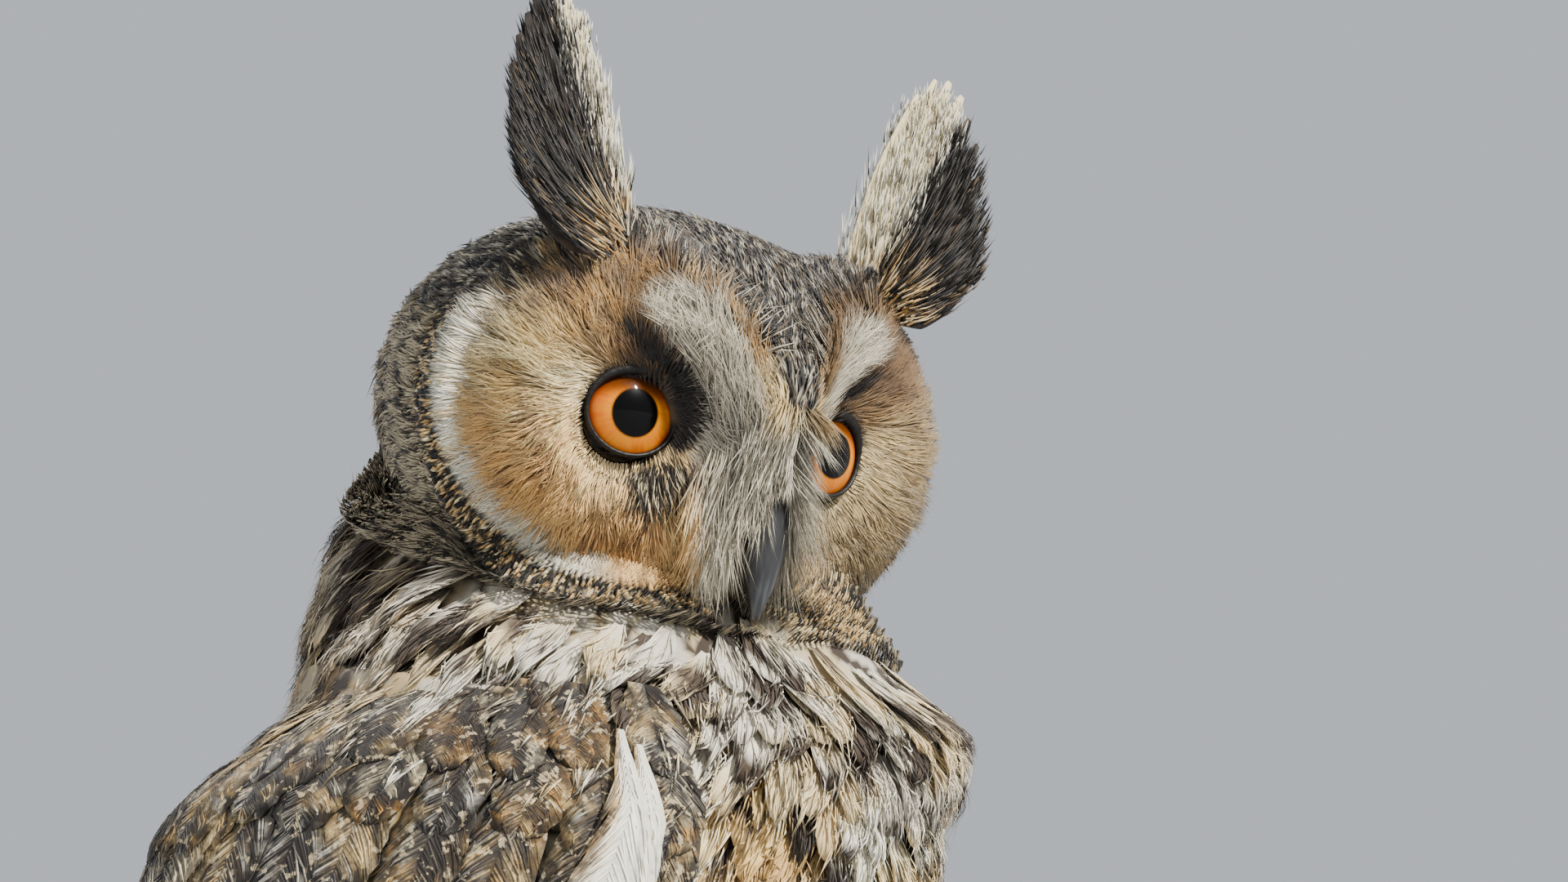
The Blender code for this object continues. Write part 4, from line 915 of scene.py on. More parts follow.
def make_skin():
    points, faces, start = [], [], 0
    for shell, triangles in skin_shells():
        points.append(shell)
        faces.append(outward(shell, triangles) + start)
        start += len(shell)
    mesh = bpy.data.meshes.new("shells")
    points, faces = np.concatenate(points), np.concatenate(faces)
    mesh.from_pydata(points.tolist(), [], faces.tolist())
    rough = bpy.data.objects.new("shells", mesh)
    bpy.context.scene.collection.objects.link(rough)
    remesh = rough.modifiers.new("voxels", "REMESH")
    remesh.mode = "VOXEL"
    remesh.voxel_size = 1.75 * MM
    graph = bpy.context.evaluated_depsgraph_get()
    fine = bpy.data.meshes.new_from_object(rough.evaluated_get(graph))
    fine.calc_loop_triangles()
    points = np.zeros(len(fine.vertices) * 3, np.float32)
    fine.vertices.foreach_get("co", points)
    points = points.reshape(-1, 3).astype(float)
    triangles = np.zeros(len(fine.loop_triangles) * 3, np.int32)
    fine.loop_triangles.foreach_get("vertices", triangles)
    triangles = triangles.reshape(-1, 3)
    bpy.data.objects.remove(rough)
    colour, uv = skin_marking(points)
    return put_mesh("skin", points, triangles, plumage_material("skin_down"), colour, uv)


def skin_marking(points):
    """The coat's own markings on the skin, a little darker as painted shade under the coat, and the skin's unwrap."""
    local = to_head(points)
    in_head = (((local / (HEAD_HALF * 1.1)) ** 2).sum(-1) < 1) & (points[:, 2] > HEAD_CENTRE[2] - 30 * MM)
    lot = (noise(points / MM, 3.0, 5) + 1) / 2
    u, angle = body_place(points)
    colour = body_marking(u, angle, lot, np.full(len(u), 0.3), np.full(len(u), 0.4))
    colour = np.where(in_head[:, None], head_marking(local / MM, 0, lot), colour)
    legs = (points[:, 2] < PERCH_TOP + 40 * MM) & (points[:, 1] < 16 * MM)
    colour = np.where(legs[:, None], palette()["buff"], colour)
    round_ = np.arctan2(local[:, 0], local[:, 2])
    polar = np.arccos(np.clip(-unit(local)[:, 1], -1, 1))
    head_uv = np.stack([round_ / (2 * math.pi) + 0.5, polar / math.pi * 0.49], -1)
    body_uv = np.stack([angle / (2 * math.pi) + 0.5, 0.51 + 0.49 * u / KNOTS[-1]], -1)
    # Painted shade: the skin a fifth darker than the coat's markings
    return colour * 0.8, np.where(in_head[:, None], head_uv, body_uv)


# Head pieces

def sphere_spread(count):
    """Evenly spread places on the head: equal steps of -cos(polar), turned by the golden angle each."""
    i = np.arange(count) + 0.5
    return np.arccos(1 - 2 * i / count), (i * math.pi * (3 - math.sqrt(5))) % (2 * math.pi) - math.pi


def head_uv(polar, round_):
    return np.stack([round_ / (2 * math.pi) + 0.5, polar / math.pi], -1)


def head_strands(
        name, polar, round_, aim, length, half, share, lift, bend, seed, material,
        thick=0.2, spread=1.0, painted=False, pushed=False):
    """Strands on the head: root + length * (aim * t) + normal * (lift * t + bend * t * t), in the head's own axes.

    A pushed strand moves out of the spine until its root lies over the neck, by the share given. A painted strand takes the marking
    of every place that it passes; another one takes that of its middle.
    """
    draw = np.random.default_rng(seed)
    point, normal, _ = head_frame(polar, round_)
    aim = unit(aim - (aim * normal).sum(-1, keepdims=True) * normal)
    share = np.asarray(share, float)
    count = len(polar)
    tuck = noise(point / MM, 3.0, seed + 200)
    length = length * draw.uniform(0.75, 1.2, count)
    swerve = draw.normal(0, 0.10 * spread, count) + 0.22 * spread * noise(point / MM, 4.0, seed + 100)
    side = np.cross(normal, aim)
    t = share[None, :, None]
    lift = np.broadcast_to(lift, (count,)) * draw.uniform(0.6, 1.4, count) * (1 + 0.5 * tuck)
    rise = lift[:, None, None] * t + bend * t * t
    path = point[:, None] - normal[:, None] * 0.8 * MM + length[:, None, None] * (
        aim[:, None] * t + side[:, None] * swerve[:, None, None] * t * (0.4 + t) + normal[:, None] * rise)
    taper = (1 - share**1.6)[None] * (0.55 + 0.45 * np.minimum(share * 4, 1))[None]
    half = np.broadcast_to(half, (count,))[:, None] * taper * draw.uniform(0.8, 1.25, count)[:, None]
    points, faces = strands(path, side[:, None], normal[:, None], half, half * thick * 2)
    along, across = strand_places(len(share), share)
    lot = draw.random(count)
    if painted:
        colour = by_step(head_marking(path / MM, 0, np.repeat(lot[:, None], len(share), 1)))
    else:
        colour = head_marking(path[:, 0] / MM + aim * (length * 0.72 / MM)[:, None], 0, lot)[:, None]
    # Painted shade: each strand darker towards its root
    colour = colour * (0.86 + 0.18 * along[None, :, None] ** 0.7)
    colour = colour * (draw.uniform(0.92, 1.07, count) * (1 + 0.07 * tuck))[:, None, None]
    bake = bake_patches(head_uv(polar, round_), along, across)
    placed_points = from_head(points)
    if np.any(pushed):
        placed_points += (over_neck(from_head(point)) * np.broadcast_to(pushed, (count,))[:, None])[:, None]
    return put_mesh(name, placed_points.reshape(-1, 3), faces, material, colour, bake)


def mirror(point):
    """The same place on the bird's left half of the head."""
    return point * np.stack([np.sign(point[:, 0]), np.ones(len(point)), np.ones(len(point))], -1)


def face_places(count):
    """Places over the head with their distance from the disc's centre and from the eye."""
    polar, round_ = sphere_spread(count)
    point, normal, back = head_frame(polar, round_)
    mirrored = mirror(point)
    from_eye = np.linalg.norm(mirrored - DISC_CENTRE, axis=-1)
    eye_gap = np.hypot(mirrored[:, 0] - EYE_CENTRE[0] - 2 * MM, mirrored[:, 2] - EYE_CENTRE[2])
    eye_gap = np.where(mirrored[:, 1] < 0, eye_gap, 1.0)
    return polar, round_, point, mirrored, from_eye, eye_gap, back


def from_near_eye(point):
    """Direction from the nearer eye, in the head's own axes."""
    centre = DISC_CENTRE * np.stack([np.sign(point[:, 0]), np.ones(len(point)), np.ones(len(point))], -1)
    return unit(point - centre)


def on_bill(mirrored):
    x, y, z = mirrored.T
    return (y < 0) & (z > -30 * MM) & (((x < 4.6 * MM) & (z < -7 * MM)) | ((x < 1.7 * MM) & (z < -4.5 * MM)))


def make_face(plumage):
    """Facial discs, brows, bristles of the bridge and the dark lashes round the eyes."""
    feather = plumage_material("face_feather")
    fine = bpy.context.scene.owl_plumage.disc_strand
    polar, round_, point, mirrored, from_eye, eye_gap, back = face_places(plumage.disc_count)
    x, y, z = mirrored.T
    brow = brow_mask(x / MM, z / MM) * (y < -12 * MM)
    edge, wide = rim_edge(np.degrees(np.arctan2(z - 1 * MM, x - 21 * MM)))
    room = (edge + wide + 0.6) * MM - from_eye
    disc = (y < 6 * MM) & (room > 1.4 * MM) & (eye_gap > 7.4 * MM)
    disc &= (x > 7 * MM) & (brow < 0.5) & (z < 10 * MM + 1.15 * x)
    pieces = []
    for label, side in BOTH_SIDES:
        pick = disc & (np.sign(point[:, 0]) == side)
        gap = from_eye[pick]
        aim = from_near_eye(point[pick]) + np.array((0, 0.15, -0.10))
        reach = plumage.strand_length * np.interp(gap / MM, (8, 14, 24, 32), (0.55, 0.85, 1.0, 0.75))
        reach = np.minimum(reach, room[pick])
        half = fine * np.interp(gap / MM, (8, 20), (0.75, 1.0))
        pieces.append(head_strands(
            "disc_" + label, polar[pick], round_[pick], aim, reach, half, (0, 0.5, 1), 0.09, 0.04, 3, feather,
            pushed=True))
    polar, round_, point, mirrored, from_eye, eye_gap, back = face_places(92000)
    x, y, z = mirrored.T
    sign = np.sign(point[:, 0])
    pick = (y < -10 * MM) & (brow_mask(x / MM, z / MM) > 0.35) & (z > -1 * MM) & (eye_gap > 7.6 * MM)
    outer = smoothstep((x[pick] - 9 * MM) / (9 * MM))
    aim = np.stack([sign[pick] * (0.28 + 0.6 * outer), 0.1 + 0 * outer, 0.95 - 0.45 * outer], -1)
    pieces.append(head_strands(
        "brows", polar[pick], round_[pick], aim, 6.6 * MM, fine * 0.75, (0, 0.4, 0.75, 1), 0.24, 0.02, 4, feather,
        spread=1.2))
    width = np.interp(z / MM, (-22, -14, -5, 6), (7.0, 9.6, 10.6, 5.5)) * MM
    zone = (x < width) & (z < 7 * MM) & (z > -23 * MM) & (y < -20 * MM) & ~on_bill(mirrored) & (eye_gap > 7.8 * MM)
    for name, pick in (("bristles", zone), ("beard", zone & (z < -1 * MM))):
        down = smoothstep((3 * MM - z[pick]) / (9 * MM))
        stand = smoothstep((8 * MM - x[pick]) / (4 * MM)) * (1 - down)
        aim = np.stack([sign[pick] * (0.2 * stand - 0.02 * down), -0.25 + 0 * down, -0.4 - 0.6 * down], -1)
        reach = np.interp(z[pick] / MM, (-22, -14, -7, 0, 6), (7.0, 11.0, 12.0, 6.5, 4.8)) * MM
        reach *= 0.4 + 0.6 * np.maximum(smoothstep((x[pick] - 1.0 * MM) / (2.0 * MM)), 1 - down)
        lift = 0.42 + 0.16 * down + 0.55 * stand
        seed = 5 if name == "bristles" else 15
        pieces.append(head_strands(
            name, polar[pick] + (name == "beard") * 0.004, round_[pick], aim, reach, fine * 0.66, (0, 0.3, 0.65, 1),
            lift, -0.10, seed, feather, spread=0.7))
    pick = (x < 5.5 * MM) & (z < 8 * MM) & (z > -7 * MM) & (y < -20 * MM) & ~on_bill(mirrored)
    cover = np.repeat(np.flatnonzero(pick & (sign > 0) & (x > 1.5 * MM) & (z > -5 * MM)), 4)
    far = np.repeat((0.0, 1.0), (pick.sum(), len(cover)))
    pick = np.concatenate([np.flatnonzero(pick), cover])
    aim = np.stack([sign[pick] * (0.25 + 0.3 * far), -0.2 - 0.3 * far, 0.12 * far - 0.8], -1)
    pieces.append(head_strands(
        "bridge", polar[pick] + 0.003, round_[pick], aim, (4.6 + 0.1 * far) * MM, fine * 0.7, (0, 0.35, 0.7, 1),
        0.95, -0.35, 25, feather, spread=0.5))
    pick = (eye_gap > 6.0 * MM) & (eye_gap < 8.6 * MM) & (y < -10 * MM)
    aim = from_near_eye(point[pick]) * 0.8
    pieces.append(head_strands(
        "lashes", polar[pick], round_[pick], aim, 2.2 * MM, fine, (0, 0.5, 1), 0.25, 0.0, 9, feather))
    return pieces


def make_rim_and_crown():
    """The speckled ruff round the disc, and the small feathers of forehead, crown, cheeks, nape and chin."""
    feather = plumage_material("crown_feather")
    pieces = []
    polar, round_, point, mirrored, from_eye, eye_gap, back = face_places(46000)
    sign = np.sign(point[:, 0])
    x, y, z = mirrored.T
    edge, wide = rim_edge(np.degrees(np.arctan2(z - 1 * MM, x - 21 * MM)))
    rim = (from_eye > (edge + wide - 1.6) * MM) & (from_eye < (edge + wide + 5.4) * MM) & (x > 3 * MM) & (y < 12 * MM)
    rim &= z < 12 * MM + 1.0 * x
    aim = 0.5 * from_near_eye(point[rim]) + back[rim] + np.array((0, 0, -0.35))
    pieces.append(head_strands(
        "ruff", polar[rim], round_[rim], aim, 2.1 * MM, 0.42 * MM, (0, 0.6, 1), 0.24, -0.06, 6, feather,
        painted=True, pushed=True))
    brow = brow_mask(x / MM, z / MM)
    fore = (z > 3 * MM) & (y < 2 * MM) & (brow < 0.6) & ((z > 8.5 * MM + 1.12 * x) | (x < 8 * MM)) & (from_eye > 9 * MM)
    rear = (from_eye >= 37 * MM)
    far = smoothstep((from_eye - 44 * MM) / (8 * MM))
    drop = smoothstep((12 * MM - z) / (20 * MM))
    pick = (fore | rear) & ~rim & ~((z < -12 * MM) & (y < -10 * MM) & (from_eye > 46 * MM))
    pick &= np.random.default_rng(77).random(len(x)) < np.where(from_eye < 46 * MM, 0.95, 0.5)
    aim = back + np.stack([0 * drop, 0.35 * drop, -1.0 * drop], -1) * far[:, None]
    length = (3.6 + 2.6 * far) * MM
    half = (0.29 + 0.12 * far) * MM
    pieces.append(head_strands(
        "crown", polar[pick], round_[pick], aim[pick], length[pick], half[pick],
        (0, 0.5, 1), 0.14, -0.07, 7, feather, painted=True, pushed=smoothstep((-z[pick] - 2 * MM) / (6 * MM))))
    chin = (z < -17 * MM) & (x < 17 * MM) & (y < -8 * MM) & ~on_bill(mirrored) & ~rim
    aim = np.stack([sign * 0.35, 0.30 + 0 * x, -1 + 0 * x], -1)
    pieces.append(head_strands(
        "chin", polar[chin], round_[chin], aim[chin], 5.0 * MM, 0.30 * MM, (0, 0.5, 1), 0.20, -0.08, 8, feather,
        painted=True, pushed=True))
    return pieces


def eye_axes(side):
    """Centre of the eyeball, the way it looks, and the directions outward and up across it, on the bird."""
    centre = from_head(EYE_CENTRE * np.array((side, 1, 1)))
    level = HEAD_TURN @ np.array((side * math.sin(EYE_OUTWARD), -math.cos(EYE_OUTWARD), 0))
    out = HEAD_TURN @ np.array((side * math.cos(EYE_OUTWARD), math.sin(EYE_OUTWARD), 0))
    above = HEAD_TURN @ np.array((0, 0, 1.0))
    look = level * math.cos(EYE_UPWARD) + above * math.sin(EYE_UPWARD)
    return centre, look, out, above * math.cos(EYE_UPWARD) - level * math.sin(EYE_UPWARD)


def make_eyes():
    """Eyeballs with iris and pupil, and the rims of the lids, the upper one lower over the eye."""
    gloss = marked_material("eye_surface", 0.3, 0.03, 1.0)
    gloss.node_tree.nodes["Principled BSDF"].inputs["Coat IOR"].default_value = 1.25
    iris_colour = np.array(bpy.context.scene.owl_colours.iris)
    pieces = []
    for label, side in BOTH_SIDES:
        centre, look, out, up = eye_axes(side)
        tilt = np.linspace(0, math.pi, 90)
        turn = np.arange(120) * 2 * math.pi / 120
        ring = tilt[1:-1, None]
        spread = np.sin(ring)[..., None] * (np.cos(turn)[:, None] * out + np.sin(turn)[:, None] * up)
        points = centre + EYE_RADIUS * (np.cos(ring)[..., None] * look + spread)
        points, faces = capped(points)
        points[-2], points[-1] = centre + EYE_RADIUS * look, centre - EYE_RADIUS * look
        local = (points - centre) / MM
        radius = np.hypot(local @ out, local @ up)
        angle = np.arctan2(local @ up, local @ out)
        spokes = noise(np.stack([np.cos(angle) * 14, np.sin(angle) * 14, radius * 0.6], -1), 1.5, 41 + side)
        cloud = noise(np.stack([np.cos(angle) * 2, np.sin(angle) * 2, radius * 0.5], -1), 1.8, 43 + side)
        colour = mix(iris_colour, iris_colour * np.array((0.96, 0.72, 0.5)), np.clip(0.35 + 0.3 * spokes + 0.3 * cloud, 0, 1))
        colour = mix(colour, np.array((0.95, 0.60, 0.0)), 0.30 * bell(radius - 4.6, 0.8))
        colour = mix(colour, np.array((0.40, 0.10, 0.02)), 0.85 * smoothstep((radius - 5.9) / 1.5))
        shade = smoothstep((local @ up - 2.6 + 0.3 * np.abs(local @ out)) / 2.6)
        colour = mix(colour, np.array((0.30, 0.08, 0.02)), 0.6 * shade)
        colour = mix(colour, np.array((0.006, 0.005, 0.006)), smoothstep((3.95 - radius) / 0.16))
        colour = mix(colour, np.array((0.03, 0.02, 0.015)), smoothstep((np.hypot(local @ out / 7.5, local @ up / 6.7) - 1) / 0.05))
        # Painted shadow of the upper lid: the upper part of the eye darker still
        colour = colour * (1 - 0.45 * smoothstep((local @ up - 2.4) / 3.2))[:, None]
        colour = np.where((local @ look < 0)[:, None], 0.03, colour)
        uv = np.stack([(local @ out) / 24 + 0.5, (local @ up) / 24 + 0.5], -1)
        ball = put_mesh("eyeball_" + label, points, outward(points, faces), gloss, colour, uv)
        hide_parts("eye_" + label)
        pieces += [ball, make_lid(label, side)]
    return pieces


def make_lid(label, side):
    """A thin ring round the eye with a heavier upper half that lies lower over the iris."""
    centre, look, out, up = eye_axes(side)
    turn = np.arange(96) * 2 * math.pi / 96
    small = np.arange(14) * 2 * math.pi / 14
    rise = np.clip(np.sin(turn), 0, 1)
    high = np.where(np.sin(turn) > 0, 6.6, 6.75)
    flat = 7.6 * np.cos(turn)[:, None] * out + (high * np.sin(turn))[:, None] * up
    flat = flat * MM
    depth = np.sqrt((EYE_RADIUS + 0.35 * MM) ** 2 - (flat**2).sum(-1))
    path = centre + flat + depth[:, None] * look
    spoke = unit(flat)
    wide = (0.55 + 0.95 * rise)[:, None, None] * MM
    tall = (0.60 + 0.75 * rise)[:, None, None] * MM
    lean = spoke * 0.75 + look * 0.0
    ring = path[:, None] + (0.55 * rise * MM)[:, None, None] * spoke[:, None] + (
        wide * np.cos(small)[None, :, None] * lean[:, None] + tall * np.sin(small)[None, :, None] * look)
    wrinkle = 0.07 * MM * np.sin(turn * 37 + side)[:, None] * np.clip(np.sin(small), 0, 1)[None]
    ring = ring + wrinkle[..., None] * look
    points = ring.reshape(-1, 3)
    faces = grid_triangles(97, 14, wrap=True) % len(points)
    shade = 0.035 + 0.03 * (noise(points / MM, 1.5, 51) + 1)
    colour = np.stack([shade, shade * 0.9, shade * 0.82], -1)
    uv = np.stack([np.repeat(turn / 7, 14), np.tile(small / 7, 96)], -1)
    return put_mesh(
        "lid_" + label, points, outward(points, faces),
        marked_material("lid_skin_" + label, 0.5, 0.35, 0.0, 900, 0.3), colour, uv)


def make_bill():
    """Upper and lower bill: rings carried along the curve of the bill, with a keel, nostrils and the line of the mouth."""
    horn = marked_material("bill_horn", 0.32, 0.5, 0.25, 700, 0.12)
    path, radii = smooth_path(BILL_PATH, BILL_RADII, 40)
    points, faces = swept(path, radii, 40, np.array((1.0, 0, 0)), 0.14)
    for _, side in BOTH_SIDES:
        spot = np.array((side * 4.9, -46, -12)) * MM
        gap = np.linalg.norm(points - spot, axis=-1)
        points = points - (bell(gap, 1.3 * MM) * 1.0 * MM)[:, None] * np.array((side * 0.8, -0.6, 0))
    ridge = (noise(points / MM * np.array((1.6, 1.6, 0.25)), 1.6, 61) + 1) / 2
    # Painted highlight: the bill paler along the middle of its ridge
    keel = smoothstep((2.2 * MM - np.abs(points[:, 0])) / (1.6 * MM))
    colour = mix(np.array((0.085, 0.085, 0.09)), np.array((0.36, 0.37, 0.38)), 0.45 * ridge**2 + 0.25 * keel)
    uv = np.stack([points[:, 0] / 0.03 + 0.5, -points[:, 2] / 0.05 + 0.2], -1)
    upper = put_mesh("upper_bill", from_head(points), outward(points, faces), horn, colour, uv)
    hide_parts("bill_upper")
    path, radii = smooth_path(LOWER_PATH, LOWER_RADII, 16)
    points, faces = swept(path, radii, 24, np.array((1.0, 0, 0)), 0.0, 0.7)
    colour = np.full((len(points), 3), 0.10)
    uv = np.stack([points[:, 0] / 0.03 + 0.5, -points[:, 1] / 0.05], -1)
    lower = put_mesh("lower_bill", from_head(points), outward(points, faces), horn, colour, uv)
    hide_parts("bill_lower")
    return [upper, lower]


# Length in millimetres, lean in degrees and half width of each feather of an ear tuft
TUFT_FEATHERS = (
    (39, -7, 3.4), (43, -3, 4.2), (44, 1, 4.8), (43, 6, 5.0), (40, 11, 5.0), (37, 17, 4.8), (33, 24, 4.6),
    (28, 32, 4.4), (23, 41, 4.0), (18, 50, 3.4),
)


# Lean in degrees up to which a tuft's inner side is white
TUFT_STRIP = {-1: 2.0, 1: 10.0}


def tuft_axes(side):
    """Root, upward axis, direction across the blade and the way its back faces, in the head's own axes."""
    mirror = np.array((side, 1.0, 1.0))
    up = unit(TUFT_LEAN * mirror)
    wide = np.array((side * math.cos(TUFT_FACING), math.sin(TUFT_FACING), 0))
    wide = unit(wide - up * (wide @ up))
    return TUFT_ROOT * mirror, up, wide, unit(np.cross(wide, up) * side)


def tuft_point(side, length, lean, step, across, lie):
    """start + up-lean axis * length * t + across axis * (across - curl) + rear * lie, curling as t squared."""
    root, up, wide, rear = tuft_axes(side)
    turn = np.radians(lean)
    along = up * np.cos(turn)[..., None] + wide * np.sin(turn)[..., None]
    sideways = wide * np.cos(turn)[..., None] - up * np.sin(turn)[..., None]
    curl = length * 0.32 * np.sin(turn) * step**2
    start = root + wide * (lean / 13.0 * MM)[..., None]
    return start + along * (length * step)[..., None] + sideways * (across - curl)[..., None] + rear * lie[..., None]


def make_tufts():
    """Ear tufts: tapered feathers with a blackish middle, fringed with white hairs inside and ochre ones outside."""
    c = palette()
    blade, hair = plumage_material("tuft_blade", True), plumage_material("tuft_hair")
    pieces = []
    for label, side in BOTH_SIDES:
        draw = np.random.default_rng(71)
        length, lean, half = np.array(TUFT_FEATHERS, float).T
        count = len(length)
        t = np.linspace(0, 1, 18)
        s = np.linspace(-1, 1, 7)
        outline = np.interp(t, (0, 0.25, 0.6, 0.85, 1), (0.5, 0.95, 0.85, 0.45, 0.1))
        across = half[:, None, None] * MM * outline[None, :, None] * s
        layer = np.arange(count)[:, None, None] * 0.9 * MM - 3.2 * MM
        lie = layer + 2.6 * MM * t[None, :, None] ** 2 - across**2 / (26 * MM) * 0.9
        shape = (count, len(t), len(s))
        top = tuft_point(
            side, np.broadcast_to(length[:, None, None] * MM, shape), np.broadcast_to(lean[:, None, None], shape),
            np.broadcast_to(t[None, :, None], shape), across, np.broadcast_to(lie, shape))
        rear = tuft_axes(side)[3]
        points, faces = vanes(top, 0.35 * MM, np.broadcast_to(rear, top.shape))
        edge = smoothstep((np.abs(s)[None, None] - 0.7) / 0.3) + 0 * across
        colour = mix(c["dark"], c["brown"], 0.35 * smoothstep((noise(top / MM, 6.0, 72) + 0.1) / 0.6) + 0.2 * edge)
        colour = mix(colour, c["brown"], 0.6 * smoothstep((0.22 - t[None, :, None]) / 0.2) + 0 * across)
        strip = TUFT_STRIP[side]
        colour = mix(colour, c["cream"], 0.9 * smoothstep((strip - lean[:, None, None] - across / MM * 0.8) / 3))
        both = np.concatenate([colour.reshape(count, -1, 3)] * 2, 1)
        field = np.stack(np.broadcast_arrays(
            across / MM * 3, (t[None, :, None] * length[:, None, None]) * 6 + np.abs(across) / MM * 5, 0 * across), -1)
        field = np.concatenate([field.reshape(count, -1, 3)] * 2, 1)
        uv = grid_patches(count, t, s)
        piece = put_mesh(
            "tuft_blades_" + label, from_head(points.reshape(-1, 3)), faces, blade, both, uv,
            {"vane": field.reshape(-1, 3)})
        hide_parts("tuft_" + label)
        pieces += [piece, tuft_fringe(label, side, hair, draw)]
    return pieces


def grid_patches(count, t, s, spread=0.9):
    """A bake place for each point of each vane: one cell of a square grid for a vane, both faces alike."""
    cells = int(math.ceil(math.sqrt(count)))
    i = np.arange(count)
    corner = np.stack([i % cells, i // cells], -1) / cells
    local = np.stack(np.meshgrid((t - t[0]) / (t[-1] - t[0]), (s + 1) / 2, indexing="ij"), -1).reshape(-1, 2)
    place = corner[:, None] + (local[None] * spread + (1 - spread) / 2) / cells
    return np.concatenate([place, place], 1).reshape(-1, 2)


def tuft_fringe(label, side, material, draw):
    """Barbs of an ear tuft over its blades: a white strip inside, dark ones over both faces, buff ones outside.

    Each leaves the blades at (lean, step), goes on toward the tip turned a little in or out, and bends upward.
    """
    c = palette()
    root, up, wide, rear = tuft_axes(side)
    strip = TUFT_STRIP[side] + 1
    groups = (
        (1900 if side > 0 else 1200, -9, strip, (2.5, 5.5), (-30, 0)), (2500, strip - 2, 52, (5, 9), (-6, 8)),
        (900, 14, 53, (2.5, 4.5), (2, 16)))
    lean, reach, turn, kind = [], [], [], []
    for i, (count, low, high, lengths, turns) in enumerate(groups):
        lean.append(draw.uniform(low, high, count))
        reach.append(draw.uniform(*lengths, count) * MM)
        turn.append(draw.uniform(*turns, count))
        kind.append(np.full(count, i))
    lean, reach, turn, kind = (np.concatenate(values) for values in (lean, reach, turn, kind))
    count = len(lean)
    step = draw.uniform(0, 1, count) ** 0.85 * 1.03 - 0.08
    table = np.array(TUFT_FEATHERS, float)
    long = np.interp(lean, table[:, 1], table[:, 0]) * MM
    inner, outer = kind == 0, kind == 2
    across = np.where(outer, draw.uniform(-1.0, 1.2, count), draw.uniform(-4.0, 2.2, count))
    across = across * MM * np.interp(step, (0, 0.3, 0.7, 1), (1.0, 1, 0.6, 0.05))
    face = draw.random(count) < 0.62
    layer = np.interp(lean, table[:, 1], np.arange(len(table)) * 0.9 - 3.2)
    lie = (layer + np.where(face, -1.1, 1.3) + draw.uniform(-0.5, 0.4, count) + 2.5 * step**2) * MM
    start = tuft_point(side, long, lean, step, across, lie)
    way = np.radians(turn + lean * (1 - 0.6 * step))
    aim = unit(up * np.cos(way)[:, None] + wide * np.sin(way)[:, None] - rear * (np.where(face, 0.14, -0.1) * draw.random(count))[:, None])
    share = np.array((0, 0.5, 1.0))
    reach = reach * np.interp(step, (0, 0.5, 0.8, 1), (1.1, 1.0, 0.6, 0.3))
    path = start[:, None] + reach[:, None, None] * (aim[:, None] * share[None, :, None] + up * 0.22 * share[None, :, None] ** 2)
    across_dir = unit(np.cross(rear, aim))
    half = 0.15 * MM * (1 - share**2)[None] * draw.uniform(0.7, 1.3, count)[:, None]
    points, faces = strands(path, across_dir[:, None], -rear, half, half * 0.4)
    along, across_place = strand_places(3, share)
    tone = draw.random(count)
    dark = mix(0.36 * c["dark"], c["brown"], 0.13 * tone**2)
    dark = mix(dark, mix(c["brown"], c["buff"], tone), 0.25 * (tone > 0.97) + 0.12 * ~face)
    shade = np.where(inner[:, None], mix(c["white"], c["cream"], 0.6 * tone), dark)
    shade = np.where((inner & (tone > 0.93))[:, None], c["dark"], shade)
    shade = np.where(outer[:, None], mix(mix(c["dark"], c["brown"], 0.6), c["buff"], 0.45 * tone * step), shade)
    base = smoothstep((0.26 - step) / 0.2)
    shade = mix(shade, mix(c["ochre"], c["cream"], tone), base * (draw.random(count) < 0.6))
    # Painted shade: each barb darker towards its root
    colour = shade[:, None] * (0.88 + 0.16 * along)[None, :, None]
    bake = bake_patches(np.stack([(lean + 10) / 62, step], -1), along, across_place)
    return put_mesh("tuft_fringe_" + label, from_head(points.reshape(-1, 3)), faces, material, colour, bake)


# Body, wings and tail

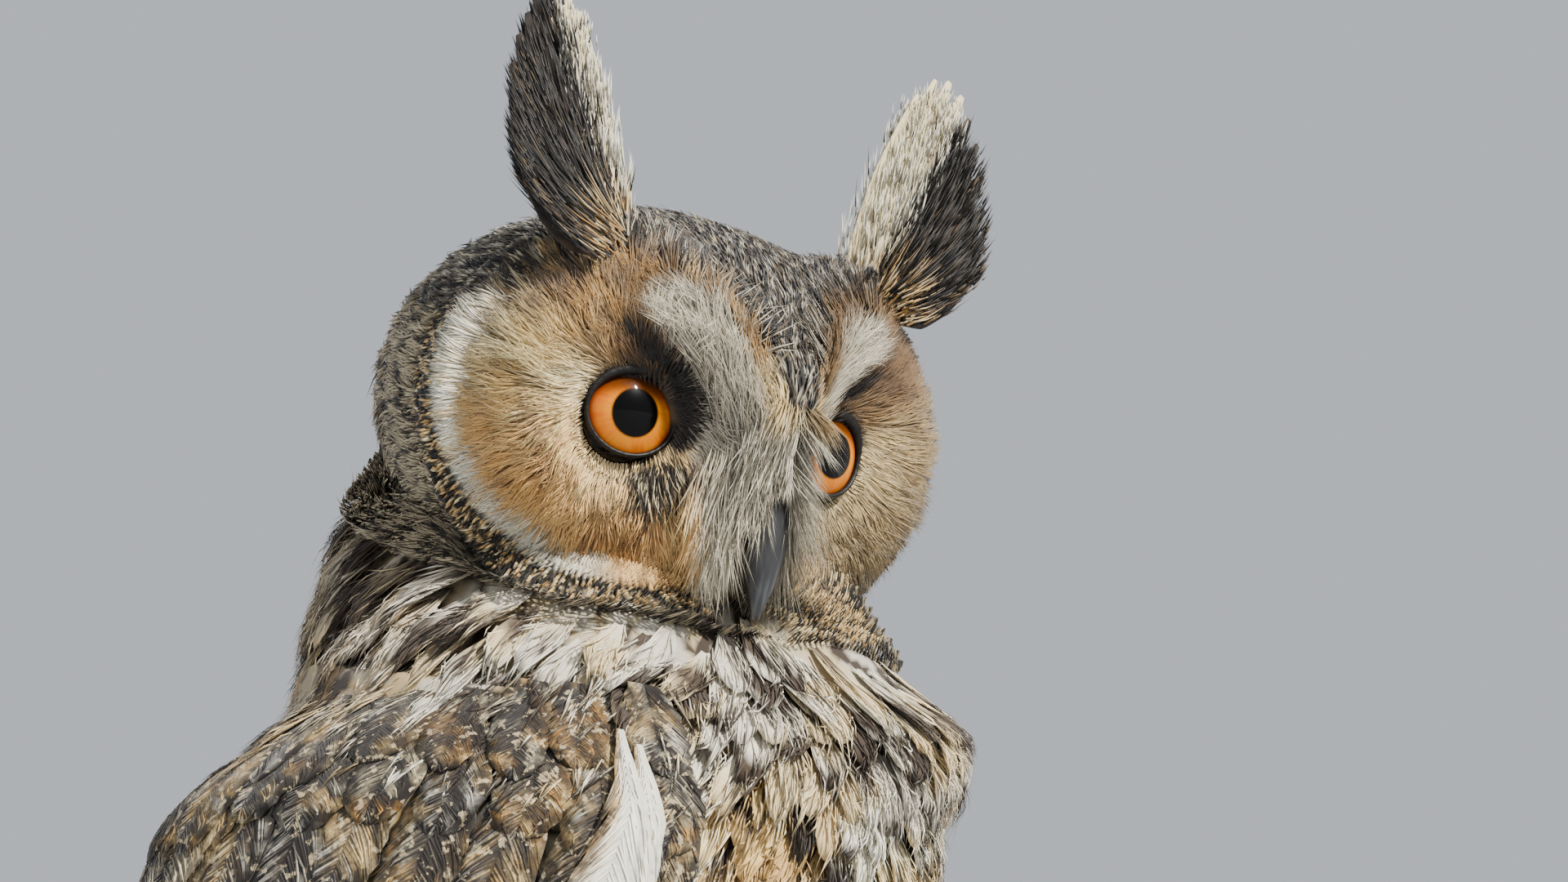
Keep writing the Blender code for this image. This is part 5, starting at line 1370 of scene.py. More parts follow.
def body_feathers(name, low_u, high_u, keep, spacing, length, half, barbs, seed, materials, depth, over=0.0):
    """Loose body feathers in staggered rows, each a thin vane with barbs over its outer half and past its edge.

    A point at t along and s across, from -1 to 1, lies at u + length * t * (1 - 0.3 s^2), sideways by
    half * s * sin(pi t / 2)^0.8 and toward the back, and rises from the skin to the coat's outline.
    """
    draw = np.random.default_rng(seed)
    u, angle = [], []
    for i, row in enumerate(np.arange(low_u, high_u, spacing)):
        half_width, front, rear = body_girth(row)
        girth = math.pi * (half_width + (front + rear) / 2) + 12 * MM
        count = max(int(girth / (spacing * 1.05)), 6)
        u.append(np.full(count, row))
        angle.append((np.arange(count) + 0.5 * (i % 2)) / count * 2 * math.pi - math.pi)
    u, angle = np.concatenate(u), np.concatenate(angle)
    u = u + draw.normal(0, 0.22 * spacing, len(u))
    angle = angle + draw.normal(0, 0.018, len(u))
    pick = keep(u, angle)
    u, angle = u[pick], angle[pick]
    count = len(u)
    per = lambda values: values[:, None, None]
    lot, size = draw.random(count), draw.uniform(0.85, 1.15, count)
    drift, level = draw.normal(0, 0.12, count), draw.normal(0, 0.45 * MM, count)
    ring = np.linalg.norm(body_point(u, angle + 0.01) - body_point(u, angle - 0.01), axis=-1) / 0.02
    to_back = -np.sign(angle) * np.abs(np.sin(angle)) ** 0.5 * 0.24
    root = wing_cover(u, angle) - depth

    def place(t, s, above=0.0, own=None):
        run = per(u) + length * per(size) * t * (1 - 0.3 * np.minimum(s**2, 1.3))
        sideways = half * s * np.sin(np.minimum(t, 1) * math.pi / 2) ** 0.8 * (1 - 0.45 * smoothstep((t - 0.55) / 0.5))
        sideways = sideways + length * (per(drift) * t**2 + per(to_back) * t)
        turned_angle = per(angle) + sideways / per(ring)
        rise = smoothstep(t * 1.15)
        cover = wing_cover(run, turned_angle)
        height = per(root) + (cover - per(root) + over + per(level) - 0.5 * MM) * rise - 0.8 * MM * s**2 * t
        height = height - 0.9 * MM * smoothstep((t - 0.86) / 0.2)
        points = body_point(run, turned_angle, height + above)
        centre, _ = spine_frame(run)
        full = np.zeros(run.shape)
        return points, unit(points - centre), body_marking(
            per(u) + full, per(angle) + full, (per(lot) if own is None else own) + full, np.minimum(t, 1) + full, s + full)

    t, s = np.linspace(0.1, 0.9, 6), np.linspace(-0.85, 0.85, 5)
    top, out, colour = place(t[None, :, None], s[None, None])
    points, faces = vanes(top, 0.25 * MM, out)
    colour = colour * draw.uniform(0.96, 1.04, (count, 1, 1, 1)) * 0.97
    grain = np.stack(np.broadcast_arrays(
        s[None, None] * half / MM * 5, t[None, :, None] * length / MM, per(lot) * 90), -1)
    twice = lambda values: np.concatenate([values.reshape(count, -1, 3)] * 2, 1).reshape(-1, 3)
    uv = np.stack([angle / (2 * math.pi) + 0.5, np.clip(u / KNOTS[-1], 0, 1)], -1)
    flat = np.concatenate([np.stack(np.meshgrid(t, s, indexing="ij"), -1).reshape(-1, 2)] * 2)
    vane = put_mesh(
        name, points.reshape(-1, 3), outward(points.reshape(-1, 3), faces), materials[0], twice(colour),
        bake_patches(uv, flat[:, 0], flat[:, 1]).reshape(-1, 2), {"vane": twice(grain)})
    base = np.broadcast_to((np.arange(barbs) + 0.5) / barbs * 2 - 1, (count, barbs)) + draw.normal(0, 0.8 / barbs, (count, barbs))
    begin = draw.uniform(0.12, 0.78, (count, barbs, 1))
    step = np.array((0.0, 0.5, 1.0))
    t = begin + draw.uniform(0.26, 0.52, (count, barbs, 1)) * step
    s = base[..., None] * (1.05 - 0.1 * step) + draw.normal(0, 0.34, (count, barbs, 1)) * step
    own = np.clip(lot[:, None, None] + draw.normal(0, 0.3, (count, barbs, 1)), 0, 1)
    points, out, colour = place(t, s, (0.1 + 2.0 * draw.random((count, barbs, 1)) * step) * MM, own)
    colour = colour * draw.uniform(0.90, 1.08, (count, barbs, 1, 1))
    path, out = points.reshape(-1, 3, 3), out.reshape(-1, 3, 3)
    side = unit(np.cross(out, unit(np.gradient(path, axis=1))))
    thin = 0.18 * MM * np.array((0.8, 1.0, 0.0))[None] * draw.uniform(0.7, 1.3, (len(path), 1))
    points, faces = strands(path, side, out, thin, thin * 0.3)
    along, across = strand_places(3, step)
    hair = put_mesh(
        name + "_barbs", points.reshape(-1, 3), faces, materials[1], by_step(colour.reshape(-1, 3, 3)),
        bake_patches(np.repeat(uv, barbs, 0), along, across))
    return [vane, hair]


def make_body_plumage(plumage):
    feather = plumage_material("body_vane", True), plumage_material("body_barb")
    pieces = []

    def outside_wing(u, angle):
        share = wing_share(u, angle)
        return (u < wing_top(np.clip(share, 0, 1)) + 5 * MM) | (share < 0.05) | (share > 0.95)

    def neck(u, angle):
        local = to_head(body_point(u, angle, -3 * MM))
        clear = ((local / HEAD_HALF) ** 2).sum(-1) > 0.82
        return clear & (face_gap(u, angle) > np.where(np.cos(angle) < -0.8, 31.5, 33.5) * MM) & outside_wing(u, angle)

    def breast(u, angle):
        return outside_wing(u, angle) & (np.cos(angle) < 0.1)

    def back(u, angle):
        return outside_wing(u, angle) & (np.cos(angle) >= 0.1) & (u > station(166))

    top, middle, foot = station(224), station(150), station(22)
    depth = plumage.body_depth
    for name, first, last, keep, spacing, length, half, barbs, seed, over in (
        ("neck_feathers", top, middle, neck, 5.2, 16, 3.8, 38, 81, 0.6),
        ("breast_feathers", middle, station(92), breast, 5.6, 20, 4.3, 62, 82, 0.3),
        ("belly_feathers", station(92), foot, breast, 6.4, 24, 5.8, 22, 83, 0.0),
        ("mantle_feathers", middle, foot, back, 6.4, 23, 5.8, 22, 84, 0.5),
    ):
        pieces += body_feathers(
            name, first, last, keep, spacing * MM, length * MM, half * MM, barbs, seed, feather, depth, over * MM)
    return pieces


# A row of the folded wing: kind of marking, vanes, height of root and tip over the perch at the trailing and the
# leading edge, the share of the width that it spans, the share of the wing's thickness that it lies at, its height
# over that at root and tip in millimetres, half width, tilt
WING_ROWS = (
    ("flight", 10, (66, 52), (-93, -58), (0.07, 0.96), 0.45, (0.2, 0.9), 8.2, 0.12),
    ("flight", 11, (84, 84), (8, 26), (0.05, 0.95), 0.7, (0.2, 1.0), 9.0, 0.11),
    ("spotted", 11, (112, 112), (54, 66), (0.05, 0.96), 0.85, (0.2, 1.2), 7.4, 0.10),
    ("covert", 12, (126, 126), (80, 88), (0.05, 0.96), 0.93, (-0.4, 1.2), 6.6, 0.09),
    ("covert", 12, (137, 140), (98, 110), (0.05, 0.96), 1.0, (-0.8, 1.3), 6.2, 0.08),
    ("covert", 12, (144, 152), (114, 130), (0.05, 0.96), 1.0, (-0.8, 1.4), 5.8, 0.07),
    ("covert", 12, (150, 162), (127, 146), (0.05, 0.96), 1.0, (-0.8, 1.5), 5.4, 0.06),
    ("covert", 11, (155, 170), (139, 157), (0.06, 0.95), 1.0, (-0.8, 1.6), 5.2, 0.05),
    ("white", 2, (162, 160), (124, 122), (0.905, 0.93), 1.0, (1.4, 4.4), 5.4, 0.05),
)
SCAPULAR_ROWS = (
    ("spotted", 6, (122, 122), (62, 76), (0.00, 0.32), 1.0, (-0.3, 2.2), 8.2, 0.07),
    ("covert", 6, (136, 138), (82, 98), (0.01, 0.34), 1.0, (-0.3, 2.6), 7.8, 0.06),
    ("spotted", 6, (144, 150), (104, 118), (0.01, 0.35), 1.0, (-0.3, 2.9), 7.2, 0.05),
    ("covert", 6, (151, 158), (122, 134), (0.02, 0.36), 1.0, (-0.4, 3.1), 6.6, 0.05),
)


class WingRow:
    """One row of vanes of the folded wing, and the surface that its vanes and their barbs lie in.

    The vane's middle goes straight from root to tip in distance down the spine, and keeps its share of the wing's
    width. A point at t along and s across it is wing_point(u, angle, height): angle is shifted by s * half * outline,
    and height is a share of the wing's thickness at that place, with tilt, camber and a dip at the tip.
    """

    def __init__(self, row, side, draw):
        self.kind, self.count, roots, tips, span, self.depth, self.rise, self.half, self.tilt = row
        share = np.arange(self.count) / (self.count - 1)
        self.side = side
        self.share = span[0] + (span[1] - span[0]) * share + draw.normal(0, 0.008, self.count)
        self.root = station(roots[0] + (roots[1] - roots[0]) * share + draw.normal(0, 1.6, self.count))
        self.tip = station(tips[0] + (tips[1] - tips[0]) * share + draw.normal(0, 2.4, self.count))
        self.lot = draw.random(self.count)
        self.size = draw.uniform(0.9, 1.08, self.count)
        self.level = draw.normal(0, 0.12 * MM, self.count)
        self.long = (self.tip - self.root) / MM

    def outline(self, t):
        if self.kind == "flight":
            return np.interp(t, (0, 0.25, 0.7, 0.9, 0.97, 1), (0.5, 0.92, 1.0, 0.78, 0.5, 0.16))
        if self.kind == "white":
            return np.interp(t, (0, 0.3, 0.6, 0.9, 1), (0.1, 0.45, 0.85, 1.0, 0.5))
        return np.interp(t, (0, 0.3, 0.6, 0.82, 0.93, 1), (0.5, 0.9, 1.0, 0.84, 0.55, 0.15))

    def place(self, t, s, above=0.0):
        """Points, outward normals and colours at t along and s across each vane, all (count, rows, columns)."""
        per = lambda values: values[:, None, None]
        u = per(self.root) + per(self.tip - self.root) * t + 0 * s
        first, last = edge_angle(WING_TRAILING, u), edge_angle(WING_LEADING, u)
        angle = first + (last - first) * per(self.share)
        ragged = 1 + 0.05 * np.sin(t * 40 + per(self.lot) * 60)
        across = self.half * MM * per(self.size) * self.outline(t) * s * ragged
        reach = np.linalg.norm(wing_point(u, angle + 0.01) - wing_point(u, angle - 0.01), axis=-1) / 0.02
        angle = angle + across / reach
        inside = np.clip((angle - first) / (last - first), 0.02, 0.98)
        level = self.depth * wing_thickness(u, inside) + (self.rise[0] + 0.78 * (self.rise[1] - self.rise[0]) * t) * MM
        camber = 0.3 * MM * (1 - np.minimum(s**2, 1.2)) * self.outline(t)
        height = level + per(self.level) + self.tilt * across + camber - 0.8 * MM * smoothstep((t - 0.85) / 0.15)
        points = wing_point(u, self.side * angle, height + above)
        centre, _ = spine_frame(u)
        full = np.zeros(u.shape)
        spot = np.stack([u / MM, angle * 48, full + 7 * self.side], -1)
        colour = vane_marking(self.kind, per(self.lot) + full, t + full, s + full, t * per(self.long) + full, spot)
        return points, unit(points - centre), colour

    def sheet(self, rows):
        """The vanes themselves, with the places of their own grain."""
        t, s = np.linspace(0, 1, rows), np.linspace(-1, 1, 7)
        top, out, colour = self.place(t[None, :, None], s[None, None, :])
        points, faces = vanes(top, 0.35 * MM, out)
        grain = np.stack(np.broadcast_arrays(
            s[None, None] * self.half * 3, t[None, :, None] * self.long[:, None, None] * 6 + np.abs(s)[None, None] * 30,
            self.lot[:, None, None]), -1)
        twice = lambda values: np.concatenate([values.reshape(self.count, -1, 3)] * 2, 1).reshape(-1, 3)
        return points.reshape(-1, 3), faces if self.side > 0 else faces[:, ::-1], twice(colour * (0.95 if self.kind == "white" else 0.78)), twice(grain), t, s

    def barbs(self, number, draw):
        """Barbs over the vane: each leaves the shaft at t0 and ends just past the edge at t0 + 0.22 (1 - 0.6 t0)."""
        start = (np.arange(number) + 0.5) / number * 0.96
        start = np.concatenate([start, start + 0.4 / number])
        hand = np.concatenate([np.full(number, -1.0), np.full(number, 1.0)])
        step = np.array((0.0, 0.5, 1.0))
        slope = 0.34 * (1 - 0.6 * start) * 40 / np.maximum(self.long.mean(), 30)
        begin = start[None] + draw.normal(0, 0.15 / number, (self.count, 2 * number))
        t = begin[..., None] + (slope[None, :, None] * step**1.3) * draw.uniform(0.8, 1.2, (self.count, 2 * number, 1))
        t = np.clip(t, 0, 1)
        s = hand[None, :, None] * (0.03 + draw.uniform(0.98, 1.14, (self.count, 2 * number, 1)) * step)
        points, out, colour = self.place(t, s, (0.05 + 0.12 * draw.random((self.count, 2 * number, 1))) * MM)
        colour = colour * draw.uniform(0.95, 1.05, (self.count, 2 * number, 1, 1))
        path, out = points.reshape(-1, 3, 3), out.reshape(-1, 3, 3)
        run = unit(np.gradient(path, axis=1))
        half = 0.25 * np.minimum(self.long.mean() / number, 1.1) * MM * np.array((0.75, 1.0, 0.0))
        return strands(path, unit(np.cross(out, run)), out, half[None] + np.zeros((len(path), 3)), half[None] * 0.12) + (
            by_step(colour.reshape(-1, 3, 3)), start, hand)


def wing_vanes(name, side, rows, seed, material, detail, number):
    """The vanes of some rows, and over them their barbs, as two pieces."""
    draw = np.random.default_rng(seed)
    sheet, hair, start, hair_start, cell = [[], [], [], [], []], [[], [], [], []], 0, 0, 0
    total = sum(row[1] for row in rows)
    for row in rows:
        made = WingRow(row, side, draw)
        flight = made.kind == "flight"
        points, faces, colour, grain, t, s = made.sheet(detail * 2 if flight else detail)
        places = placed_patches(cell, made.count, total, t, s)
        for store, values in zip(sheet, (points, faces + start, colour, grain, places)):
            store.append(values)
        start += len(points)
        points, faces, colour, begin, hand = made.barbs(number * 3 // 2 if flight else number, draw)
        vane = np.repeat(np.arange(made.count), len(begin))
        uv = np.stack([(vane + cell + 0.5) / total, np.tile(begin * 0.9 + 0.05 * hand, made.count)], -1)
        along, across = strand_places(3, np.array((0.0, 0.5, 1.0)))
        for store, values in zip(hair, (points.reshape(-1, 3), faces + hair_start, colour.reshape(-1, 3),
                                        bake_patches(uv, along, across).reshape(-1, 2))):
            store.append(values)
        hair_start += points.shape[0] * points.shape[1]
        cell += made.count
    points, faces, colour, grain, uv = (np.concatenate(values) for values in sheet)
    piece = put_mesh(name, points, faces, material[0], colour, uv, {"vane": grain})
    points, faces, colour, uv = (np.concatenate(values) for values in hair)
    return piece, put_mesh(name + "_barbs", points, faces, material[1], colour, uv)


def placed_patches(first, count, total, t, s):
    """Bake places for vanes first to first + count of total: a cell each of one square grid."""
    cells = int(math.ceil(math.sqrt(total)))
    i = np.arange(count) + first
    corner = np.stack([i % cells, i // cells], -1) / cells
    local = np.stack(np.meshgrid((t - t[0]) / (t[-1] - t[0]), (s + 1) / 2, indexing="ij"), -1).reshape(-1, 2)
    place = corner[:, None] + (local[None] * 0.9 + 0.05) / cells
    return np.concatenate([place, place], 1).reshape(-1, 2)


def make_wings():
    materials = speckled(plumage_material("wing_vane", True)), speckled(plumage_material("wing_barb"))
    pieces = []
    for label, side in BOTH_SIDES:
        rows = wing_vanes("wing_feathers_" + label, side, WING_ROWS, 91, materials, 14, 30)
        scapulars = wing_vanes("scapulars_" + label, side, SCAPULAR_ROWS, 92, materials, 18, 34)
        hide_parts("wing_" + label)
        pieces += [*rows, *scapulars]
    return pieces


def straight_vanes(name, first, last, half, outline, kind, seed, material, thickness=0.4 * MM):
    """Vanes of the tail. Ends are (distance down the spine, sideways, backward); a point is the spine's frame there."""
    draw = np.random.default_rng(seed)
    first, last = np.asarray(first, float), np.asarray(last, float)
    count = len(first)
    t, s = np.linspace(0, 1, 40), np.linspace(-1, 1, 7)
    T, S = t[None, :, None], s[None, None, :]
    ends = first[:, None, None] + (last - first)[:, None, None] * T[..., None]
    ends = np.broadcast_to(ends, (count, len(t), len(s), 3))
    shape = np.interp(t, *outline)[None, :, None]
    across = half * shape * S + 0 * ends[..., 0]
    centre, back = spine_frame(ends[..., 0])
    lift = ends[..., 2] + 0.5 * MM * (1 - S**2)
    top = centre + (ends[..., 1] + across)[..., None] * np.array((1.0, 0, 0)) + lift[..., None] * back
    points, faces = vanes(top, thickness, back)
    lot = draw.random(count)[:, None, None] + 0 * across
    length = np.linalg.norm(top[:, -1, 3] - top[:, 0, 3], axis=-1)[:, None, None] / MM
    colour = vane_marking(kind, lot, T + 0 * across, S + 0 * across, T * length + 0 * across)
    colour = np.concatenate([colour.reshape(count, -1, 3)] * 2, 1)
    field = np.stack([across / MM * 3, T * length * 6 + np.abs(across) / MM * 5, lot], -1)
    field = np.concatenate([field.reshape(count, -1, 3)] * 2, 1).reshape(-1, 3)
    return put_mesh(
        name, points, outward(points.reshape(-1, 3), faces), material, colour,
        placed_patches(0, count, count, t, s), {"vane": field})


def make_tail():
    vane = plumage_material("tail_vane", True)
    root_u = station(22) + 0.3 * MM
    length = min(142 * MM, KNOTS[-1] - root_u - 4 * MM)
    first, last = [], []
    for pair in range(6):
        for _, side in BOTH_SIDES:
            layer = 2 * pair + (side < 0)
            backward, spread = (4.5 - 0.82 * layer) * MM, (1.6 + 2.75 * pair) * MM * side
            first.append((root_u + 10 * MM, spread * 0.3, backward * 0.8))
            last.append((root_u + length - 1.6 * MM * pair, spread, backward))
    flight = ((0, 0.3, 0.72, 0.92, 1), (0.45, 0.92, 1.0, 0.72, 0.2))
    tail = straight_vanes("tail_feathers", first, last, 9.2 * MM, flight, "tail", 101, vane)
    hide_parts("tail")
    first, last = [], []
    for row, (start, reach, high, low) in enumerate(((3, 52, 9.0, 6.6), (-8, 34, 13.0, 9.5), (3, 66, -5.0, -8.5), (-8, 46, -9.0, -10.0))):
        for i in range(6):
            sideways = (i - 2.5) * 3.6 * MM
            bump = 0.8 * (i % 2) * MM * (1 if high > 0 else -1)
            first.append((root_u + start * MM, sideways * 0.9, high * MM + bump))
            last.append((root_u + (reach - 3 * abs(i - 2.5)) * MM, sideways * 1.4, low * MM + bump))
    covert = ((0, 0.45, 0.85, 1), (0.5, 0.95, 0.8, 0.2))
    coverts = straight_vanes("tail_coverts", first, last, 6.2 * MM, covert, "covert", 102, vane)
    return [tail, coverts]


def tube_strands(name, tubes, per_tube, length, half, seed, material, start=0.0, end=1.0):
    """Short soft feathers on the legs and toes: rooted round each tube and laid along it."""
    draw = np.random.default_rng(seed)
    all_root, all_aim, all_out, all_uv = [], [], [], []
    for i, (path, radii) in enumerate(tubes):
        run = unit(np.gradient(path, axis=0, edge_order=2))
        count = per_tube
        t = draw.uniform(start, end, count) * (len(path) - 1)
        turn = draw.uniform(0, 2 * math.pi, count)
        mixin = lambda values: np.stack([np.interp(t, np.arange(len(path)), values[:, k]) for k in range(3)], -1)
        ahead = unit(mixin(run))
        across = unit(np.array((1.0, 0, 0)) - ahead * ahead[:, :1])
        other = np.cross(ahead, across)
        out = np.cos(turn)[:, None] * across + np.sin(turn)[:, None] * other
        radius = np.interp(t, np.arange(len(path)), radii) - 1.6 * MM
        all_root.append(mixin(path) + out * radius[:, None])
        all_aim.append(ahead)
        all_out.append(out)
        all_uv.append(np.stack([(i + turn / 7) / len(tubes), t / len(path)], -1))
    root, aim, out, uv = (np.concatenate(a) for a in (all_root, all_aim, all_out, all_uv))
    count = len(root)
    share = np.array((0.0, 0.5, 1.0))
    reach = length * draw.uniform(0.7, 1.2, count)[:, None, None]
    swerve = draw.normal(0, 0.18, count)[:, None, None]
    side = np.cross(out, aim)
    T = share[None, :, None]
    path = root[:, None] + reach * (aim[:, None] * T + side[:, None] * swerve * T**2 + out[:, None] * (0.32 * T - 0.16 * T**2))
    thin = half * np.array((0.8, 1.0, 0))[None] * draw.uniform(0.8, 1.2, count)[:, None]
    points, faces = strands(path, side[:, None], out[:, None], thin, thin * 0.5)
    along, across = strand_places(3, share)
    c = palette()
    shade = mix(mix(c["buff"], c["cream"], draw.random(count)), c["ochre"], 0.5 * draw.random(count))
    # Painted shade: each plume darker towards its root
    colour = shade[:, None] * (0.8 + 0.22 * along)[None, :, None]
    return put_mesh(name, points, faces, material, colour, bake_patches(uv, along, across))


def make_leg_plumage():
    feather = plumage_material("leg_feather")
    legs = [leg_path(side) for _, side in BOTH_SIDES]
    toes = [toe_path(side, toe) for _, side in BOTH_SIDES for toe in TOES]
    thighs = tube_strands("leg_plumes", legs, 1700, 9 * MM, 0.7 * MM, 111, feather, 0.0, 0.93)
    feet = tube_strands("toe_plumes", toes, 480, 4.8 * MM, 0.45 * MM, 112, feather, 0.0, 0.9)
    return [thighs, feet]


def make_claws():
    horn = marked_material("claw_horn", 0.3, 0.5, 0.3, 600, 0.1)
    pieces = []
    for label, side in BOTH_SIDES:
        for toe, start_x, end_x, sweep in TOES:
            way = math.copysign(1, sweep)
            over = PERCH_RADIUS + TOE_RADIUS
            start = math.radians(sweep) - way * 0.06
            drift = (end_x - start_x) / (0.92 * math.radians(abs(sweep))) * CLAW_SWEEP
            t = np.linspace(0, 1, 24)
            x = side * (FOOT_X + (end_x + drift * (t - t * t / 2)) * MM)
            path = round_perch(x, start + way * (CLAW_SWEEP + 0.06) * t, over + (2.4 * t * t - 3.6 * t**3) * MM)
            radii = CLAW_RADIUS * np.interp(t, (0, 0.2, 0.4, 0.6, 0.8, 1), (1.0, 0.96, 0.82, 0.6, 0.36, 0.1))
            points, faces = swept(path, radii, 20, np.array((1.0, 0, 0)), 0.0, 0.85)
            shade = 0.07 + 0.05 * (noise(points / MM, 2.5, 121) + 1)
            colour = np.stack([shade, shade, shade * 1.03], -1)
            uv = np.stack([points[:, 0] / 0.02 % 1, points[:, 2] / 0.03 % 1], -1)
            piece = put_mesh(f"hook_{label}_{toe}", points, outward(points, faces), horn, colour, uv)
            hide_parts(f"claw_{label}_{toe}")
            pieces.append(piece)
    return pieces


# Perch and stand

def make_perch():
    """The branch: radius plus ridges of bark along it, knots and slow bends, with paler cut ends."""
    x = np.linspace(-PERCH_LENGTH / 2, PERCH_LENGTH / 2, 200)
    turn = np.arange(96) * 2 * math.pi / 96
    X, A = x[:, None], turn[None]
    swell = 0.35 * np.sin(3 * A + 40 * X) + 0.3 * np.sin(95 * X + A)
    knot = 1.6 * bell(X - 66 * MM, 6 * MM) * bell(np.sin((A - 0.6) / 2), 0.4)
    sample = np.stack(np.broadcast_arrays(X / MM * 0.28, 11 * np.sin(A), 11 * np.cos(A)), -1)
    bark = 0.28 * noise(sample, 3.2, 131) + 0.16 * noise(sample, 1.3, 132)
    radius = PERCH_RADIUS + (np.clip(swell, -0.6, 0.2) + knot + bark - 0.3) * MM
    rings = np.stack(np.broadcast_arrays(
        X, PERCH_Y + radius * np.sin(A), PERCH_TOP - PERCH_RADIUS + radius * np.cos(A)), -1)
    ends = []
    for row, sign in ((0, -1), (-1, 1)):
        middle = rings[row].mean(0)
        fade = np.linspace(0.93, 0.08, 10)[:, None, None]
        inset = middle + (rings[row][None] - middle) * fade
        inset[..., 0] += sign * 0.5 * MM
        ends.append(inset)
    rings = np.concatenate([ends[0][::-1], rings, ends[1]])
    points, faces = capped(rings)
    inside = np.zeros(len(rings))
    inside[:10] = inside[-10:] = 1
    cut = np.append(np.repeat(inside, 96), (1, 1))
    gap = np.hypot(points[:, 1] - PERCH_Y, points[:, 2] - PERCH_TOP + PERCH_RADIUS) / MM
    rough = noise(points / MM * np.array((0.25, 1, 1)), 4.0, 133)
    patch = noise(points / MM, 18.0, 134)
    colour = mix(np.array((0.33, 0.28, 0.23)), np.array((0.16, 0.13, 0.11)), smoothstep((rough + 0.3) / 0.8))
    colour = mix(colour, np.array((0.50, 0.47, 0.42)), 0.6 * smoothstep((patch - 0.1) / 0.5))
    rings_of_wood = 0.5 + 0.5 * np.sin(gap * 5.2)
    wood = mix(np.array((0.72, 0.58, 0.40)), np.array((0.55, 0.41, 0.27)), rings_of_wood * 0.7)
    colour = mix(colour, wood, cut)
    uv = np.stack([np.clip(points[:, 0] / PERCH_LENGTH + 0.5, 0, 1), np.append(np.tile(turn / 6.3, len(rings)), (0.5, 0.5))], -1)
    bark_material = marked_material("branch_bark", 0.85, 0.2, 0.0, 420, 0.6)
    piece = put_mesh("branch", points, outward(points, faces), bark_material, colour, uv)
    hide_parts("perch")
    return piece


def wood_material():
    """Dark varnished wood: rings of a stretched noise on Object coordinates, with fine pores."""
    made, nodes, links, shader = new_material("base_wood", 0.38, 0.5, 0.0, 0.25)
    place = nodes.new("ShaderNodeTexCoord")
    stretch = nodes.new("ShaderNodeMapping")
    stretch.inputs["Scale"].default_value = (14, 90, 90)
    links.new(place.outputs["Object"], stretch.inputs["Vector"])
    grain = nodes.new("ShaderNodeTexNoise")
    grain.inputs["Scale"].default_value = 1.0
    grain.inputs["Detail"].default_value = 8
    grain.inputs["Distortion"].default_value = 1.4
    links.new(stretch.outputs["Vector"], grain.inputs["Vector"])
    tone = nodes.new("ShaderNodeValToRGB")
    tone.color_ramp.elements[0].position = 0.32
    tone.color_ramp.elements[0].color = (0.022, 0.011, 0.006, 1)
    tone.color_ramp.elements[1].position = 0.68
    tone.color_ramp.elements[1].color = (0.11, 0.055, 0.028, 1)
    links.new(grain.outputs["Fac"], tone.inputs["Fac"])
    links.new(tone.outputs["Color"], shader.inputs["Base Color"])
    bump = nodes.new("ShaderNodeBump")
    bump.inputs["Strength"].default_value = 0.12
    bump.inputs["Distance"].default_value = 0.0005
    links.new(grain.outputs["Fac"], bump.inputs["Height"])
    links.new(bump.outputs["Normal"], shader.inputs["Normal"])
    return made


def steel_material():
    """Satin steel with fine marks along the rods."""
    made, nodes, links, shader = new_material("rod_steel", 0.3, 0.5, 0.0, 0.0, 1.0)
    shader.inputs["Base Color"].default_value = (0.45, 0.45, 0.46, 1)
    place = nodes.new("ShaderNodeTexCoord")
    stretch = nodes.new("ShaderNodeMapping")
    stretch.inputs["Scale"].default_value = (900, 900, 12)
    links.new(place.outputs["Object"], stretch.inputs["Vector"])
    grain = nodes.new("ShaderNodeTexNoise")
    grain.inputs["Scale"].default_value = 1.0
    links.new(stretch.outputs["Vector"], grain.inputs["Vector"])
    bump = nodes.new("ShaderNodeBump")
    bump.inputs["Strength"].default_value = 0.08
    bump.inputs["Distance"].default_value = 0.0002
    links.new(grain.outputs["Fac"], bump.inputs["Height"])
    links.new(bump.outputs["Normal"], shader.inputs["Normal"])
    return made


def make_stand():
    """A turned base, as a profile carried round its axis, and two plain rods up into the branch."""
    profile = np.array((
        (0.5, 0), (92, 0), (98.2, 0), (99.6, 0.5), (100, 1.6), (100, 8.6), (99.6, 9.6), (98.4, 11.2), (97.2, 11.8),
        (95, 12), (60, 12), (0.5, 12),
    )) * MM
    turn = np.arange(160) * 2 * math.pi / 160
    rings = np.stack([
        profile[:, 0][:, None] * np.cos(turn), profile[:, 0][:, None] * np.sin(turn),
        profile[:, 1][:, None] + 0 * turn], -1)
    points, faces = capped(rings)
    uv = points[:, :2] / 0.42 + 0.5
    base = put_mesh("base", points, outward(points, faces), wood_material(), None, uv)
    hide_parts("stand_base")
    steel = steel_material()
    pieces = [base]
    for label, side in BOTH_SIDES:
        z = np.linspace(12 * MM, PERCH_TOP - 2 * PERCH_RADIUS + 1.5 * MM, 12)
        path = np.stack([np.full(12, side * 56 * MM), np.full(12, PERCH_Y), z], -1)
        points, faces = swept(path, np.full(12, 3 * MM), 32, np.array((1.0, 0, 0)))
        uv = np.stack([points[:, 0] / 0.02 % 1, points[:, 2] / 0.12], -1)
        rod = put_mesh("rod_" + label, points, outward(points, faces), steel, None, uv)
        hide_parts("stand_rod_" + label)
        pieces.append(rod)
    return pieces


# Operators

